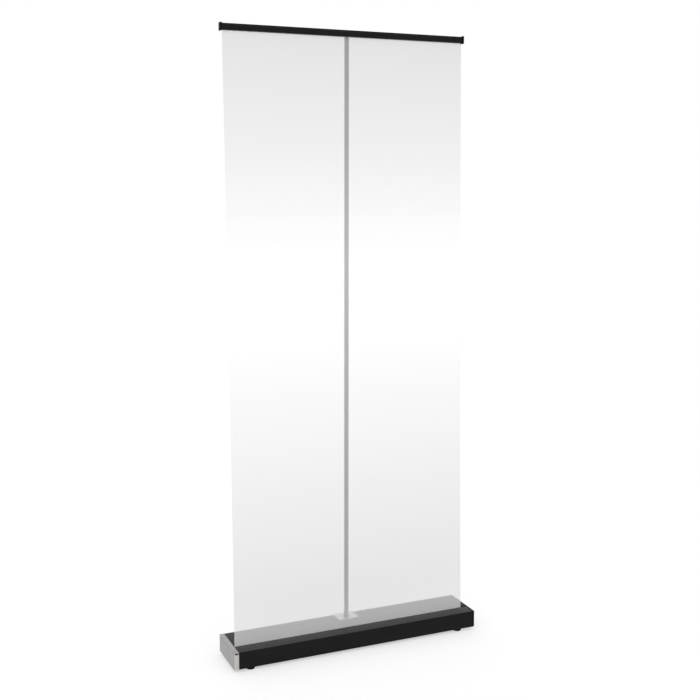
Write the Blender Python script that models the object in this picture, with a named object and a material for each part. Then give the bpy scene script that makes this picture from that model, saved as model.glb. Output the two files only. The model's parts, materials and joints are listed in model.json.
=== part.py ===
"""Roll-up banner stand: a spring-loaded cassette, a film pulled up on a snap rail, and a sectional pole.

Metres, +Z up, X along the cassette, -Y the display side. The origin is on the floor under its middle.
"""

import math

import bmesh
import bpy
from mathutils import Euler, Vector

MM = 0.001
GAP = 0.3 * MM
INSET = 0.2 * MM

# Cassette body
CASSETTE_LENGTH = 895 * MM
CASSETTE_DEPTH = 166 * MM
CASSETTE_HEIGHT = 58.7 * MM
FOOT_HEIGHT = 9 * MM
SHELL_WALL = 1.8 * MM
SHELL_CORNER = 2 * MM
LEFT_CAP_LENGTH = 16.2 * MM
RIGHT_CAP_LENGTH = 8.7 * MM
FLOOR_Z = FOOT_HEIGHT
ROOF_Z = FOOT_HEIGHT + CASSETTE_HEIGHT
HALF_LENGTH = CASSETTE_LENGTH / 2
HALF_DEPTH = CASSETTE_DEPTH / 2
SHELL_X0 = -HALF_LENGTH + LEFT_CAP_LENGTH
SHELL_X1 = HALF_LENGTH - RIGHT_CAP_LENGTH

# Screws that hold the end pieces, and the ports in the shell that take them
PORT_YS = (-46 * MM, 28 * MM)
PORT_Z = 16 * MM
PORT_HALF = 5 * MM
PORT_BORE = 1.9 * MM
SCREW_HOLE = 2.2 * MM
SCREW_SHANK = 1.6 * MM
SCREW_HEAD = 3.4 * MM
SCREW_HEAD_HEIGHT = 2.2 * MM
DRIVE_WIDTH = 0.8 * MM
COUNTERBORE = 4.2 * MM
COUNTERBORE_FLOOR = 5 * MM

# Film and its slot
FILM_X0 = -430.5 * MM
FILM_X1 = 419.5 * MM
FILM_THICKNESS = 0.5 * MM
SLOT_Y = -31.15 * MM
SLOT_WIDTH = 7 * MM
FILM_TOP_Y = 21 * MM
FILM_IN_RAIL = 13 * MM
LIP_DEPTH = 6.2 * MM
LIP_THICKNESS = 1.6 * MM
LIP_FLANGE = 5 * MM

# Top rail
RAIL_Z = 2059.2 * MM
RAIL_HEIGHT = 21.5 * MM
RAIL_X0 = -432 * MM
RAIL_X1 = 420 * MM
RAIL_CAP_LENGTH = 6 * MM
RAIL_CAP_LIP = 2.2 * MM
RAIL_FRONT_Y = 13 * MM
RAIL_BACK_Y = 29 * MM
JAW_PIVOT_Y = 17.2 * MM
JAW_PIVOT_Z = RAIL_Z + 17.6 * MM
RAIL_WALL = 1.6 * MM
RAIL_FACE_Y = 22 * MM
RAIL_GROOVE_Z = (8.3 * MM, 12.3 * MM)

# Roller and its spring
ROLLER_Y = -13.25 * MM
ROLLER_Z = 38.3 * MM
ROLLER_RADIUS = 17 * MM
ROLLER_BORE = 15 * MM
ROLL_RADIUS = 17.6 * MM
SHAFT_RADIUS = 4 * MM
SPRING_X0 = 187 * MM
SPRING_X1 = 386 * MM
SPRING_RADIUS = 7.4 * MM
SPRING_WIRE = 0.8 * MM
SPRING_TURNS = 24
SHAFT_GRIP = 14 * MM
SHAFT_FLAT = 3.5 * MM
PLUG_RADIUS = ROLLER_BORE - GAP
PLUG_REACH = 22 * MM
PLUG_STUB = 6 * MM

# Pole
POLE_X = 5 * MM
POLE_Y = 48 * MM
POLE_RADIUS = 7.5 * MM
POLE_BORE = 6.5 * MM
FERRULE_RADIUS = 6.2 * MM
FERRULE_BORE = 5.2 * MM
FERRULE_REACH = 70 * MM
FERRULE_HOLD = 60 * MM
SOCKET_FLOOR_Z = 16 * MM
SOCKET_BORE = 9 * MM
SOCKET_RADIUS = 11 * MM
BUSH_DEPTH = 12 * MM
BUSH_FLANGE = 11 * MM
BUSH_FLANGE_HEIGHT = 1.6 * MM
PLATE_X = 6 * MM
PLATE_Y = 53 * MM
PLATE_SIZE = (75 * MM, 56 * MM, 3.5 * MM)
PLATE_SCREW_X = 26 * MM
POLE_FOOT_Z = SOCKET_FLOOR_Z + GAP
POLE_JOINT_1_Z = 700 * MM
POLE_JOINT_2_Z = 1380 * MM
POLE_TOP_Z = 2060 * MM
CORD_RADIUS = 1.5 * MM

# Levelling feet
FOOT_X = 387 * MM
FOOT_Y = 64 * MM
FOOT_RADIUS = 15 * MM
STUD_RADIUS = 3 * MM
STUD_FLOOR = 3 * MM
STUD_TOP = 28 * MM
INSERT_RADIUS = 5 * MM
INSERT_FLANGE = 8 * MM
FOOT_PLACES = (
    ("front_left", -FOOT_X, -FOOT_Y),
    ("front_right", FOOT_X, -FOOT_Y),
    ("back_left", -FOOT_X, FOOT_Y),
    ("back_right", FOOT_X, FOOT_Y),
)

# End door
DOOR_SKIN = 2.5 * MM
DOOR_HINGE_X = -HALF_LENGTH + 2.5 * MM
DOOR_HINGE_Y = 60 * MM
ROOF_PLATE = 2.4 * MM
FRAME_PLATE = 3 * MM
DOOR_TOP_Z = ROOF_Z - ROOF_PLATE - 0.5 * MM
NAIL_SLOT_Z = 61 * MM
PIN_RADIUS = 1.2 * MM
PIN_BORE = 1.5 * MM
BARREL_RADIUS = 2.5 * MM
LUG_FRONT = 2.3 * MM
LUG_NOTCH = 3.8 * MM
LUG_LOW_Z = FLOOR_Z + 5 * MM
LUG_HIGH_Z = ROOF_Z - 7 * MM
BLOCK_Y = DOOR_HINGE_Y + 3.2 * MM

ROUND_SIDES = 28
SMALL_SIDES = 14


def clear_scene():
    for obj in list(bpy.data.objects):
        bpy.data.objects.remove(obj, do_unlink=True)


def make_material(name, colour, roughness, metallic=0.0, alpha=1.0):
    material = bpy.data.materials.new(name)
    material.use_nodes = True
    shader = material.node_tree.nodes["Principled BSDF"]
    shader.inputs["Base Color"].default_value = (*colour, 1.0)
    shader.inputs["Roughness"].default_value = roughness
    shader.inputs["Metallic"].default_value = metallic
    shader.inputs["Alpha"].default_value = alpha
    return material


def new_object(name, mesh, material, location=(0, 0, 0)):
    obj = bpy.data.objects.new(name, mesh)
    obj.location = location
    bpy.context.scene.collection.objects.link(obj)
    if material:
        mesh.materials.append(material)
    return obj


def mesh_from(bm, name):
    bmesh.ops.recalc_face_normals(bm, faces=bm.faces)
    mesh = bpy.data.meshes.new(name)
    bm.to_mesh(mesh)
    bm.free()
    return mesh


def add_box(bm, low, high):
    centre = [(a + b) / 2 for a, b in zip(low, high)]
    made = bmesh.ops.create_cube(bm, size=1.0)
    bmesh.ops.scale(bm, vec=[b - a for a, b in zip(low, high)], verts=made["verts"])
    bmesh.ops.translate(bm, vec=centre, verts=made["verts"])


def box(name, material, low, high, origin=(0, 0, 0), bevel=0.0, segments=2):
    """A block between two corners given in world coordinates, with its origin at origin."""
    bm = bmesh.new()
    add_box(bm, low, high)
    if bevel:
        bmesh.ops.bevel(bm, geom=list(bm.edges), offset=bevel, segments=segments, affect="EDGES", profile=0.5)
    bmesh.ops.translate(bm, vec=[-c for c in origin], verts=bm.verts)
    return new_object(name, mesh_from(bm, name), material, origin)


def arc(centre, radius, start, end, steps):
    """Points along a circular arc, angles in degrees."""
    return [
        (
            centre[0] + radius * math.cos(math.radians(start + (end - start) * i / steps)),
            centre[1] + radius * math.sin(math.radians(start + (end - start) * i / steps)),
        )
        for i in range(steps + 1)
    ]


def circle(centre, radius, sides):
    return arc(centre, radius, 0, 360, sides)[:-1]


def rounded_rectangle(y0, z0, y1, z1, radius, steps):
    corners = ((y1, z1, 0), (y0, z1, 90), (y0, z0, 180), (y1, z0, 270))
    points = []
    for y, z, turn in corners:
        centre = (y - radius if y == y1 else y + radius, z - radius if z == z1 else z + radius)
        points += arc(centre, radius, turn, turn + 90, steps)
    return points


def extrusion(name, material, loops, x0, x1, origin=(0, 0, 0)):
    """A profile in the YZ plane, its first loop the outline and the rest holes, drawn out along X."""
    curve = bpy.data.curves.new(name + "_profile", "CURVE")
    curve.dimensions = "2D"
    curve.fill_mode = "BOTH"
    curve.extrude = (x1 - x0) / 2
    for loop in loops:
        spline = curve.splines.new("POLY")
        spline.points.add(len(loop) - 1)
        for point, (y, z) in zip(spline.points, loop):
            point.co = (y, z, 0, 1)
        spline.use_cyclic_u = True
    guide = bpy.data.objects.new(name + "_profile", curve)
    bpy.context.scene.collection.objects.link(guide)
    bpy.context.view_layer.update()
    bm = bmesh.new()
    bm.from_mesh(guide.evaluated_get(bpy.context.evaluated_depsgraph_get()).to_mesh())
    bpy.data.objects.remove(guide, do_unlink=True)
    turn = Euler((math.pi / 2, 0, math.pi / 2)).to_matrix().to_4x4()
    bmesh.ops.transform(bm, matrix=turn, verts=bm.verts)
    bmesh.ops.translate(bm, vec=Vector(((x0 + x1) / 2, 0, 0)) - Vector(origin), verts=bm.verts)
    bmesh.ops.remove_doubles(bm, verts=bm.verts, dist=1e-6)
    return new_object(name, mesh_from(bm, name), material, origin)


def turned(name, material, profile, origin, sides, along="Z"):
    """A closed (radius, height) profile spun about the Z or the X axis through origin."""
    bm = bmesh.new()
    ring = [bm.verts.new((radius, 0, height)) for radius, height in profile]
    edges = [bm.edges.new((ring[i - 1], ring[i])) for i in range(len(ring))]
    bmesh.ops.spin(
        bm, geom=ring + edges, cent=(0, 0, 0), axis=(0, 0, 1), angle=2 * math.pi, steps=sides, use_merge=True
    )
    bmesh.ops.remove_doubles(bm, verts=bm.verts, dist=1e-6)
    bmesh.ops.dissolve_degenerate(bm, edges=bm.edges, dist=1e-6)
    if along == "X":
        turn = Euler((0, math.pi / 2, 0)).to_matrix().to_4x4()
        bmesh.ops.transform(bm, matrix=turn, verts=bm.verts)
    mesh = mesh_from(bm, name)
    mesh.shade_smooth()
    mesh.set_sharp_from_angle(angle=math.radians(35))
    return new_object(name, mesh, material, origin)


def rod(name, material, radius, low, high, origin, sides, along="Z"):
    """A plain round bar, low and high measured from origin along its axis."""
    profile = [(0, low), (radius, low), (radius, high), (0, high)]
    return turned(name, material, profile, origin, sides, along)


def tube(name, material, outer, inner, low, high, origin, sides, along="Z"):
    profile = [(inner, low), (outer, low), (outer, high), (inner, high)]
    return turned(name, material, profile, origin, sides, along)


def helper(obj):
    obj.hide_render = True
    obj.display_type = "WIRE"
    return obj


def boolean(target, tool, operation):
    helper(tool)
    modifier = target.modifiers.new(tool.name, "BOOLEAN")
    modifier.operation = operation
    modifier.solver = "EXACT"
    modifier.object = tool


def cut(target, *tools):
    for tool in tools:
        boolean(target, tool, "DIFFERENCE")


def join(target, *tools):
    for tool in tools:
        boolean(target, tool, "UNION")


def hang_on(parent, *children):
    """Parents the pieces to the empty or piece that carries them, keeping their places."""
    bpy.context.view_layer.update()
    for child in children:
        child.parent = parent
        child.matrix_parent_inverse = parent.matrix_world.inverted()


def joint_empty(name, location):
    empty = bpy.data.objects.new(name, None)
    empty.empty_display_size = 0.02
    empty.location = location
    bpy.context.scene.collection.objects.link(empty)
    return empty


def build_shell(black):
    """The extruded cassette body: the film slot in its roof, two screw ports along its floor."""
    outer = rounded_rectangle(-HALF_DEPTH, FLOOR_Z, HALF_DEPTH, ROOF_Z, SHELL_CORNER, 3)
    quarter = len(outer) // 4
    top_right, top_left = outer[:quarter], outer[quarter : 2 * quarter]
    bottom = outer[2 * quarter :]
    slot_front = SLOT_Y - SLOT_WIDTH / 2
    slot_back = SLOT_Y + SLOT_WIDTH / 2
    y_in = HALF_DEPTH - SHELL_WALL
    floor_in = FLOOR_Z + SHELL_WALL
    roof_in = ROOF_Z - SHELL_WALL
    loop = [(slot_front, ROOF_Z)] + top_left + bottom + top_right
    loop += [(slot_back, ROOF_Z), (slot_back, roof_in), (y_in, roof_in), (y_in, floor_in)]
    for port_y in sorted(PORT_YS, reverse=True):
        loop += [
            (port_y + PORT_HALF, floor_in),
            (port_y + PORT_HALF, PORT_Z + PORT_HALF),
            (port_y - PORT_HALF, PORT_Z + PORT_HALF),
            (port_y - PORT_HALF, floor_in),
        ]
    loop += [(-y_in, floor_in), (-y_in, roof_in), (slot_front, roof_in)]
    holes = [circle((port_y, PORT_Z), PORT_BORE, 10) for port_y in PORT_YS]
    shell = extrusion("cassette_body", black, [loop] + holes, SHELL_X0, SHELL_X1)
    drill = 5 * MM
    pole_place = (POLE_X, POLE_Y, ROOF_Z)
    cut(shell, rod("cut_socket", None, SOCKET_RADIUS + GAP, -drill, drill, pole_place, ROUND_SIDES))
    for side in (-1, 1):
        place = (PLATE_X + side * PLATE_SCREW_X, PLATE_Y, ROOF_Z)
        cut(shell, rod(f"cut_plate_screw_{side}", None, SCREW_HOLE, -drill, drill, place, SMALL_SIDES))
    for corner, x, y in FOOT_PLACES:
        place = (x, y, FLOOR_Z)
        cut(shell, rod(f"cut_foot_{corner}", None, INSERT_RADIUS + GAP, -drill, drill, place, SMALL_SIDES))
    return shell


def build_left_end(silver, steel):
    """The fixed end frame with its roof strip and rear block, and the door that swings on the pin."""
    x_in = SHELL_X0 - GAP
    x_plate = x_in - FRAME_PLATE
    x_out = -HALF_LENGTH
    frame = box(
        "end_frame_left", silver, (x_plate, -HALF_DEPTH, FLOOR_Z), (x_in, HALF_DEPTH, ROOF_Z),
        bevel=0.6 * MM, segments=1,
    )
    roof = box(
        "add_frame_roof", None, (x_out, -HALF_DEPTH, ROOF_Z - ROOF_PLATE),
        (x_in - 1.1 * MM, HALF_DEPTH - INSET / 2, ROOF_Z - INSET / 2),
    )
    block = box(
        "add_frame_block", None, (x_out + INSET, BLOCK_Y, FLOOR_Z + INSET),
        (x_in - 1 * MM, HALF_DEPTH - INSET, ROOF_Z - 1 * MM),
    )
    lug_y = DOOR_HINGE_Y - LUG_FRONT
    lug_low = box(
        "add_lug_low", None, (x_out + 2 * INSET, lug_y, FLOOR_Z + 1 * MM),
        (-436 * MM, BLOCK_Y + 1.7 * MM, LUG_LOW_Z),
    )
    lug_high = box(
        "add_lug_high", None, (x_out + 2 * INSET, lug_y, LUG_HIGH_Z),
        (-436.3 * MM, BLOCK_Y + 2.2 * MM, ROOF_Z - 1.2 * MM),
    )
    join(frame, roof, block, lug_low, lug_high)
    hinge = (DOOR_HINGE_X, DOOR_HINGE_Y, 0)
    pin_low, pin_high = FLOOR_Z + 1 * MM, ROOF_Z - ROOF_PLATE - 1 * MM
    bore_low, bore_high = FLOOR_Z - 1 * MM, pin_high + 2 * INSET
    cut(frame, rod("cut_pin_frame", None, PIN_BORE, bore_low, bore_high, hinge, SMALL_SIDES))
    bearing = (x_plate, ROLLER_Y, ROLLER_Z)
    cut(frame, rod("cut_bearing", None, PLUG_STUB + GAP, -2 * MM, 6 * MM, bearing, ROUND_SIDES, "X"))
    for i, port_y in enumerate(PORT_YS):
        place = (x_plate, port_y, PORT_Z)
        cut(frame, rod(f"cut_frame_screw_{i}", None, SCREW_HOLE, -2 * MM, 6 * MM, place, SMALL_SIDES, "X"))
    door = build_door(silver, hinge, x_plate - 0.4 * MM)
    pin = rod("door_pin", steel, PIN_RADIUS, pin_low, pin_high, hinge, SMALL_SIDES)
    return frame, door, pin


def build_door(silver, hinge, return_x):
    """The outer skin, its front return and the hinge barrel, notched round the frame's two lugs."""
    x_out, front_y = -HALF_LENGTH, -HALF_DEPTH
    skin_low, skin_high = (x_out, front_y, FLOOR_Z), (x_out + DOOR_SKIN, DOOR_HINGE_Y, DOOR_TOP_Z)
    door = box("end_door", silver, skin_low, skin_high, origin=hinge)
    front = box(
        "add_door_front", None, (x_out, front_y, FLOOR_Z), (return_x, front_y + DOOR_SKIN, NAIL_SLOT_Z)
    )
    barrel_low, barrel_high = LUG_LOW_Z + 2 * INSET, LUG_HIGH_Z - 2 * INSET
    barrel = rod("add_door_barrel", None, BARREL_RADIUS, barrel_low, barrel_high, hinge, 16)
    join(door, front, barrel)
    for label, z0, z1 in (("low", FLOOR_Z - 1 * MM, barrel_low), ("high", barrel_high, ROOF_Z)):
        notch_low = (x_out - 1 * MM, DOOR_HINGE_Y - LUG_NOTCH, z0)
        notch_high = (return_x, BLOCK_Y, z1)
        cut(door, box(f"cut_door_lug_{label}", None, notch_low, notch_high))
    cut(door, rod("cut_pin_door", None, PIN_BORE, FLOOR_Z, ROOF_Z, hinge, SMALL_SIDES))
    return door


def build_right_end(black_plastic):
    """The moulded right cap: its outer edges rounded, two spigots in the shell, a boss for the shaft."""
    x0 = SHELL_X1 + GAP
    bm = bmesh.new()
    add_box(bm, (x0, -HALF_DEPTH, FLOOR_Z), (HALF_LENGTH, HALF_DEPTH, ROOF_Z))
    long_edges = [e for e in bm.edges if abs(e.verts[0].co.x - e.verts[1].co.x) > 1 * MM]
    bmesh.ops.bevel(bm, geom=long_edges, offset=SHELL_CORNER, segments=2, affect="EDGES", profile=0.5)
    outer_edges = [e for e in bm.edges if all(v.co.x > HALF_LENGTH - 1e-5 for v in e.verts)]
    bmesh.ops.bevel(bm, geom=outer_edges, offset=4.2 * MM, segments=4, affect="EDGES", profile=0.5)
    cap = new_object("end_cap_right", mesh_from(bm, "end_cap_right"), black_plastic)
    boss_half = 10 * MM
    boss = box(
        "add_shaft_boss", None, (x0 - boss_half, ROLLER_Y - boss_half, ROLLER_Z - boss_half),
        (x0 + 2 * MM, ROLLER_Y + boss_half, ROLLER_Z + boss_half),
    )
    join(cap, boss)
    spigot_z = (FLOOR_Z + 8 * MM, ROOF_Z - 8 * MM)
    near, far = HALF_DEPTH - SHELL_WALL - 4 * MM, HALF_DEPTH - SHELL_WALL - 0.4 * MM
    for label, y0, y1 in (("back", near, far), ("front", -far, -near)):
        low, high = (x0 - 8 * MM, y0, spigot_z[0]), (x0 + 2 * MM, y1, spigot_z[1])
        join(cap, box(f"add_spigot_{label}", None, low, high))
    flat = SHAFT_FLAT + GAP
    low = (x0 - 2 * boss_half, ROLLER_Y - flat, ROLLER_Z - flat)
    high = (x0 - 1 * MM, ROLLER_Y + flat, ROLLER_Z + flat)
    cut(cap, box("cut_shaft_hole", None, low, high))
    through = 20 * MM
    for i, port_y in enumerate(PORT_YS):
        place = (x0, port_y, PORT_Z)
        for label, radius, start in (("hole", SCREW_HOLE, -4 * MM), ("seat", COUNTERBORE, COUNTERBORE_FLOOR)):
            cut(cap, rod(f"cut_cap_{label}_{i}", None, radius, start, through, place, SMALL_SIDES, "X"))
    return cap


def screw(name, steel, place, inward, length):
    """A pan-head screw along X: its head under the seat at place, its shank running inward."""
    top = -SCREW_HEAD_HEIGHT
    crown = 2.4 * MM
    head = [(0, top), (crown, top), (SCREW_HEAD, top + 0.8 * MM), (SCREW_HEAD, 0)]
    head += [(SCREW_SHANK, 0), (SCREW_SHANK, length), (0, length)]
    profile = [(radius, inward * x) for radius, x in head]
    obj = turned(name, steel, profile, place, 12, "X")
    slot_x = sorted(place[0] + inward * x for x in (top - 0.8 * MM, top + 0.8 * MM))
    low = (slot_x[0], place[1] - 2 * MM, place[2] - DRIVE_WIDTH / 2)
    high = (slot_x[1], place[1] + 2 * MM, place[2] + DRIVE_WIDTH / 2)
    cut(obj, box("cut_drive_" + name, None, low, high))
    return obj


def build_cap_screws(steel):
    """The screws that hold both end pieces to the ports of the shell."""
    made = []
    left_seat = SHELL_X0 - GAP - FRAME_PLATE - GAP
    right_seat = SHELL_X1 + GAP + COUNTERBORE_FLOOR + GAP
    for label, port_y in zip(("front", "back"), PORT_YS):
        made.append(screw(f"screw_left_{label}", steel, (left_seat, port_y, PORT_Z), 1, 13 * MM))
        made.append(screw(f"screw_right_{label}", steel, (right_seat, port_y, PORT_Z), -1, 15 * MM))
    return made


def build_slot_lips(rubber):
    """Two L-shaped wiper strips that line the slot, one on each side of the film."""
    roof_in = ROOF_Z - SHELL_WALL - GAP
    low, top = ROOF_Z - LIP_DEPTH, ROOF_Z - INSET
    x0, x1 = SHELL_X0 + 0.5 * MM, SHELL_X1 - 12 * MM
    lips = []
    for label, side in (("front", 1), ("back", -1)):
        edge = SLOT_Y - side * (SLOT_WIDTH / 2 - GAP)
        flange, lip = edge - side * LIP_FLANGE, edge + side * LIP_THICKNESS
        outline = [(flange, low), (lip, low), (lip, top), (edge, top), (edge, roof_in), (flange, roof_in)]
        lips.append(extrusion(f"slot_lip_{label}", rubber, [outline], x0, x1))
    return lips


def build_roller(aluminium, plastic, steel, film):
    """Tube, end plugs, fixed shaft, torsion spring with its anchors, and the film still on the tube."""
    centre = (0, ROLLER_Y, ROLLER_Z)
    bore = SHAFT_RADIUS + GAP
    roller = tube(
        "roller_tube", aluminium, ROLLER_RADIUS, ROLLER_BORE, FILM_X0, FILM_X1, centre, ROUND_SIDES, "X"
    )
    wound = ROLLER_RADIUS + GAP / 2
    roll = tube("film_roll", film, ROLL_RADIUS, wound, FILM_X0, FILM_X1, centre, ROUND_SIDES, "X")
    stub_end, inner_end = FILM_X0 - 5.6 * MM, FILM_X0 + PLUG_REACH
    profile = [
        (0, stub_end), (PLUG_STUB, stub_end), (PLUG_STUB, FILM_X0), (PLUG_RADIUS, FILM_X0),
        (PLUG_RADIUS, inner_end), (0, inner_end),
    ]
    plug_left = turned("roller_plug_left", plastic, profile, centre, ROUND_SIDES, "X")
    inner_end, flange_in, flange_out = FILM_X1 - 16 * MM, FILM_X1 + GAP, FILM_X1 + 3 * MM
    rim = ROLLER_RADIUS + 1.6 * MM
    profile = [
        (bore, inner_end), (PLUG_RADIUS, inner_end), (PLUG_RADIUS, flange_in), (rim, flange_in),
        (rim, flange_out), (bore, flange_out),
    ]
    plug_right = turned("roller_plug_right", plastic, profile, centre, ROUND_SIDES, "X")
    shaft = build_shaft(steel, centre)
    fixed_low, fixed_high = SPRING_X1 + 1.2 * MM, SPRING_X1 + 12 * MM
    fixed = tube("spring_anchor_fixed", plastic, 9 * MM, bore, fixed_low, fixed_high, centre, 16, "X")
    back, front = SPRING_X0 - 27 * MM, SPRING_X0 - 1.2 * MM
    floor = SPRING_X0 - SHAFT_GRIP - 2 * GAP
    profile = [(0, back), (PLUG_RADIUS, back), (PLUG_RADIUS, front), (bore, front), (bore, floor), (0, floor)]
    turning = turned("spring_anchor_roller", plastic, profile, centre, ROUND_SIDES, "X")
    spring = coil_spring("torsion_spring", steel)
    return roller, roll, plug_left, plug_right, shaft, fixed, turning, spring


def build_shaft(steel, centre):
    """The fixed shaft inside the spring, filed square where the right cap's boss stops it turning."""
    shaft_x0, shaft_x1 = SPRING_X0 - SHAFT_GRIP, SHELL_X1 - 2 * MM
    shaft = rod("spring_shaft", steel, SHAFT_RADIUS, shaft_x0, shaft_x1, centre, 16, "X")
    flat, reach = SHAFT_FLAT, 6 * MM
    for label, y0, z0, y1, z1 in (
        ("top", -reach, flat, reach, reach),
        ("bottom", -reach, -reach, reach, -flat),
        ("back", flat, -reach, reach, reach),
        ("front", -reach, -reach, -flat, reach),
    ):
        low = (FILM_X1 + 6 * MM, ROLLER_Y + y0, ROLLER_Z + z0)
        high = (SHELL_X1, ROLLER_Y + y1, ROLLER_Z + z1)
        cut(shaft, box(f"cut_shaft_{label}", None, low, high))
    return shaft


def coil_spring(name, steel):
    """A helix about the roller's axis, wound from a round wire."""
    per_turn = 10
    count = SPRING_TURNS * per_turn
    curve = bpy.data.curves.new(name, "CURVE")
    curve.dimensions = "3D"
    curve.bevel_depth = SPRING_WIRE
    curve.bevel_resolution = 0
    curve.use_fill_caps = True
    spline = curve.splines.new("POLY")
    spline.points.add(count)
    length = SPRING_X1 - SPRING_X0
    for i, point in enumerate(spline.points):
        angle = 2 * math.pi * i / per_turn
        x = SPRING_X0 + length * i / count
        point.co = (x, SPRING_RADIUS * math.cos(angle), SPRING_RADIUS * math.sin(angle), 1)
    curve.materials.append(steel)
    obj = bpy.data.objects.new(name, curve)
    obj.location = (0, ROLLER_Y, ROLLER_Z)
    bpy.context.scene.collection.objects.link(obj)
    return obj


def build_film(film):
    """The leader between the roll and the slot, and the display film from the slot up into the rail."""
    half = FILM_THICKNESS / 2
    leader_top = ROOF_Z - INSET / 2
    leader = box(
        "film_leader", film, (FILM_X0, SLOT_Y - half, ROLLER_Z), (FILM_X1, SLOT_Y + half, leader_top)
    )
    bottom_z = ROOF_Z + INSET
    top_z = RAIL_Z + FILM_IN_RAIL
    top_y = SLOT_Y + (FILM_TOP_Y - SLOT_Y) * (top_z - ROOF_Z) / (RAIL_Z - ROOF_Z)
    loop = [(SLOT_Y - half, bottom_z), (SLOT_Y + half, bottom_z)]
    loop += [(top_y + half, top_z), (top_y - half, top_z)]
    banner = extrusion("banner_film", film, [loop], FILM_X0, FILM_X1, (0, SLOT_Y, ROOF_Z))
    return leader, banner


def build_socket(silver, plastic, steel):
    """The plate on the roof with the cup under it, the bush that guides the pole, and two screws."""
    width, depth, thickness = PLATE_SIZE
    z0, z1 = ROOF_Z + GAP / 2, ROOF_Z + thickness
    centre = (POLE_X, POLE_Y, 0)
    plate = box(
        "pole_socket", silver, (PLATE_X - width / 2, PLATE_Y - depth / 2, z0),
        (PLATE_X + width / 2, PLATE_Y + depth / 2, z1), bevel=0.7 * MM, segments=2,
    )
    cup_floor = SOCKET_FLOOR_Z - 3 * MM
    join(plate, rod("add_cup", None, SOCKET_RADIUS, cup_floor, z1 - 1 * MM, centre, ROUND_SIDES))
    cut(plate, rod("cut_cup", None, SOCKET_BORE, SOCKET_FLOOR_Z, z1 + 5 * MM, centre, ROUND_SIDES))
    inner, skirt = POLE_RADIUS + GAP, SOCKET_BORE - GAP
    flange_low, flange_high = z1 + GAP, z1 + GAP + BUSH_FLANGE_HEIGHT
    profile = [
        (inner, z1 - BUSH_DEPTH), (skirt, z1 - BUSH_DEPTH), (skirt, flange_low), (BUSH_FLANGE, flange_low),
        (BUSH_FLANGE, flange_high - 2 * INSET), (BUSH_FLANGE - 3 * INSET, flange_high), (inner, flange_high),
    ]
    made = [plate, turned("pole_bush", plastic, profile, centre, ROUND_SIDES)]
    for label, side in (("left", -1), ("right", 1)):
        place = (PLATE_X + side * PLATE_SCREW_X, PLATE_Y, z1)
        cone = [(0, -2.6), (2, -2.6), (3.9, 0.4), (3.9, 3), (0, 3)]
        profile = [(r * MM, z * MM) for r, z in cone]
        cut(plate, turned(f"cut_countersink_{label}", None, profile, place, SMALL_SIDES))
        cut(plate, rod(f"cut_plate_hole_{label}", None, 2 * MM, -9 * MM, 3 * MM, place, SMALL_SIDES))
        head = [(0, -0.2), (3.1, -0.2), (1.6, -2.4), (1.6, -10), (0, -10)]
        profile = [(r * MM, z * MM) for r, z in head]
        obj = turned(f"socket_screw_{label}", steel, profile, place, 12)
        low = (place[0] - 2 * MM, place[1] - DRIVE_WIDTH / 2, z1 - 1 * MM)
        high = (place[0] + 2 * MM, place[1] + DRIVE_WIDTH / 2, z1 + 1 * MM)
        cut(obj, box(f"cut_drive_{label}", None, low, high))
        made.append(obj)
    return made


def build_pole(black, plastic, cord):
    """Three tubes joined by ferrules, the elastic cord in them, a foot plug and the hook at the top."""
    base = (POLE_X, POLE_Y, 0)
    foot_top = POLE_FOOT_Z + 4 * MM
    plug_top = foot_top + 14 * MM
    profile = [
        (0, POLE_FOOT_Z), (POLE_RADIUS, POLE_FOOT_Z), (POLE_RADIUS, foot_top), (FERRULE_RADIUS, foot_top),
        (FERRULE_RADIUS, plug_top), (0, plug_top),
    ]
    plug = turned("pole_foot_plug", plastic, profile, base, ROUND_SIDES)
    made = []
    for label, low, high in (
        ("lower", foot_top + GAP, POLE_JOINT_1_Z),
        ("middle", POLE_JOINT_1_Z + GAP, POLE_JOINT_2_Z),
        ("upper", POLE_JOINT_2_Z + GAP, POLE_TOP_Z),
    ):
        made.append(tube(f"pole_{label}", black, POLE_RADIUS, POLE_BORE, low, high, base, ROUND_SIDES))
    lower, middle, upper = made
    low, high = POLE_JOINT_1_Z - FERRULE_HOLD, POLE_JOINT_1_Z + FERRULE_REACH
    ferrule_1 = tube("pole_ferrule_lower", black, FERRULE_RADIUS, FERRULE_BORE, low, high, base, 20)
    web_low, high = POLE_JOINT_2_Z - FERRULE_HOLD, POLE_JOINT_2_Z + FERRULE_REACH
    web_high = web_low + 4 * MM
    profile = [
        (0, web_low), (FERRULE_RADIUS, web_low), (FERRULE_RADIUS, high), (FERRULE_BORE, high),
        (FERRULE_BORE, web_high), (0, web_high),
    ]
    ferrule_2 = turned("pole_ferrule_upper", black, profile, base, 20)
    hook_low = POLE_TOP_Z - 30 * MM
    cord_1 = rod("elastic_cord_lower", cord, CORD_RADIUS, plug_top + GAP, web_low - GAP, base, 8)
    cord_2 = rod("elastic_cord_upper", cord, CORD_RADIUS, web_high + GAP, hook_low - GAP, base, 8)
    hook = build_hook(plastic, base, hook_low)
    return plug, lower, ferrule_1, middle, ferrule_2, upper, cord_1, cord_2, hook


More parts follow.
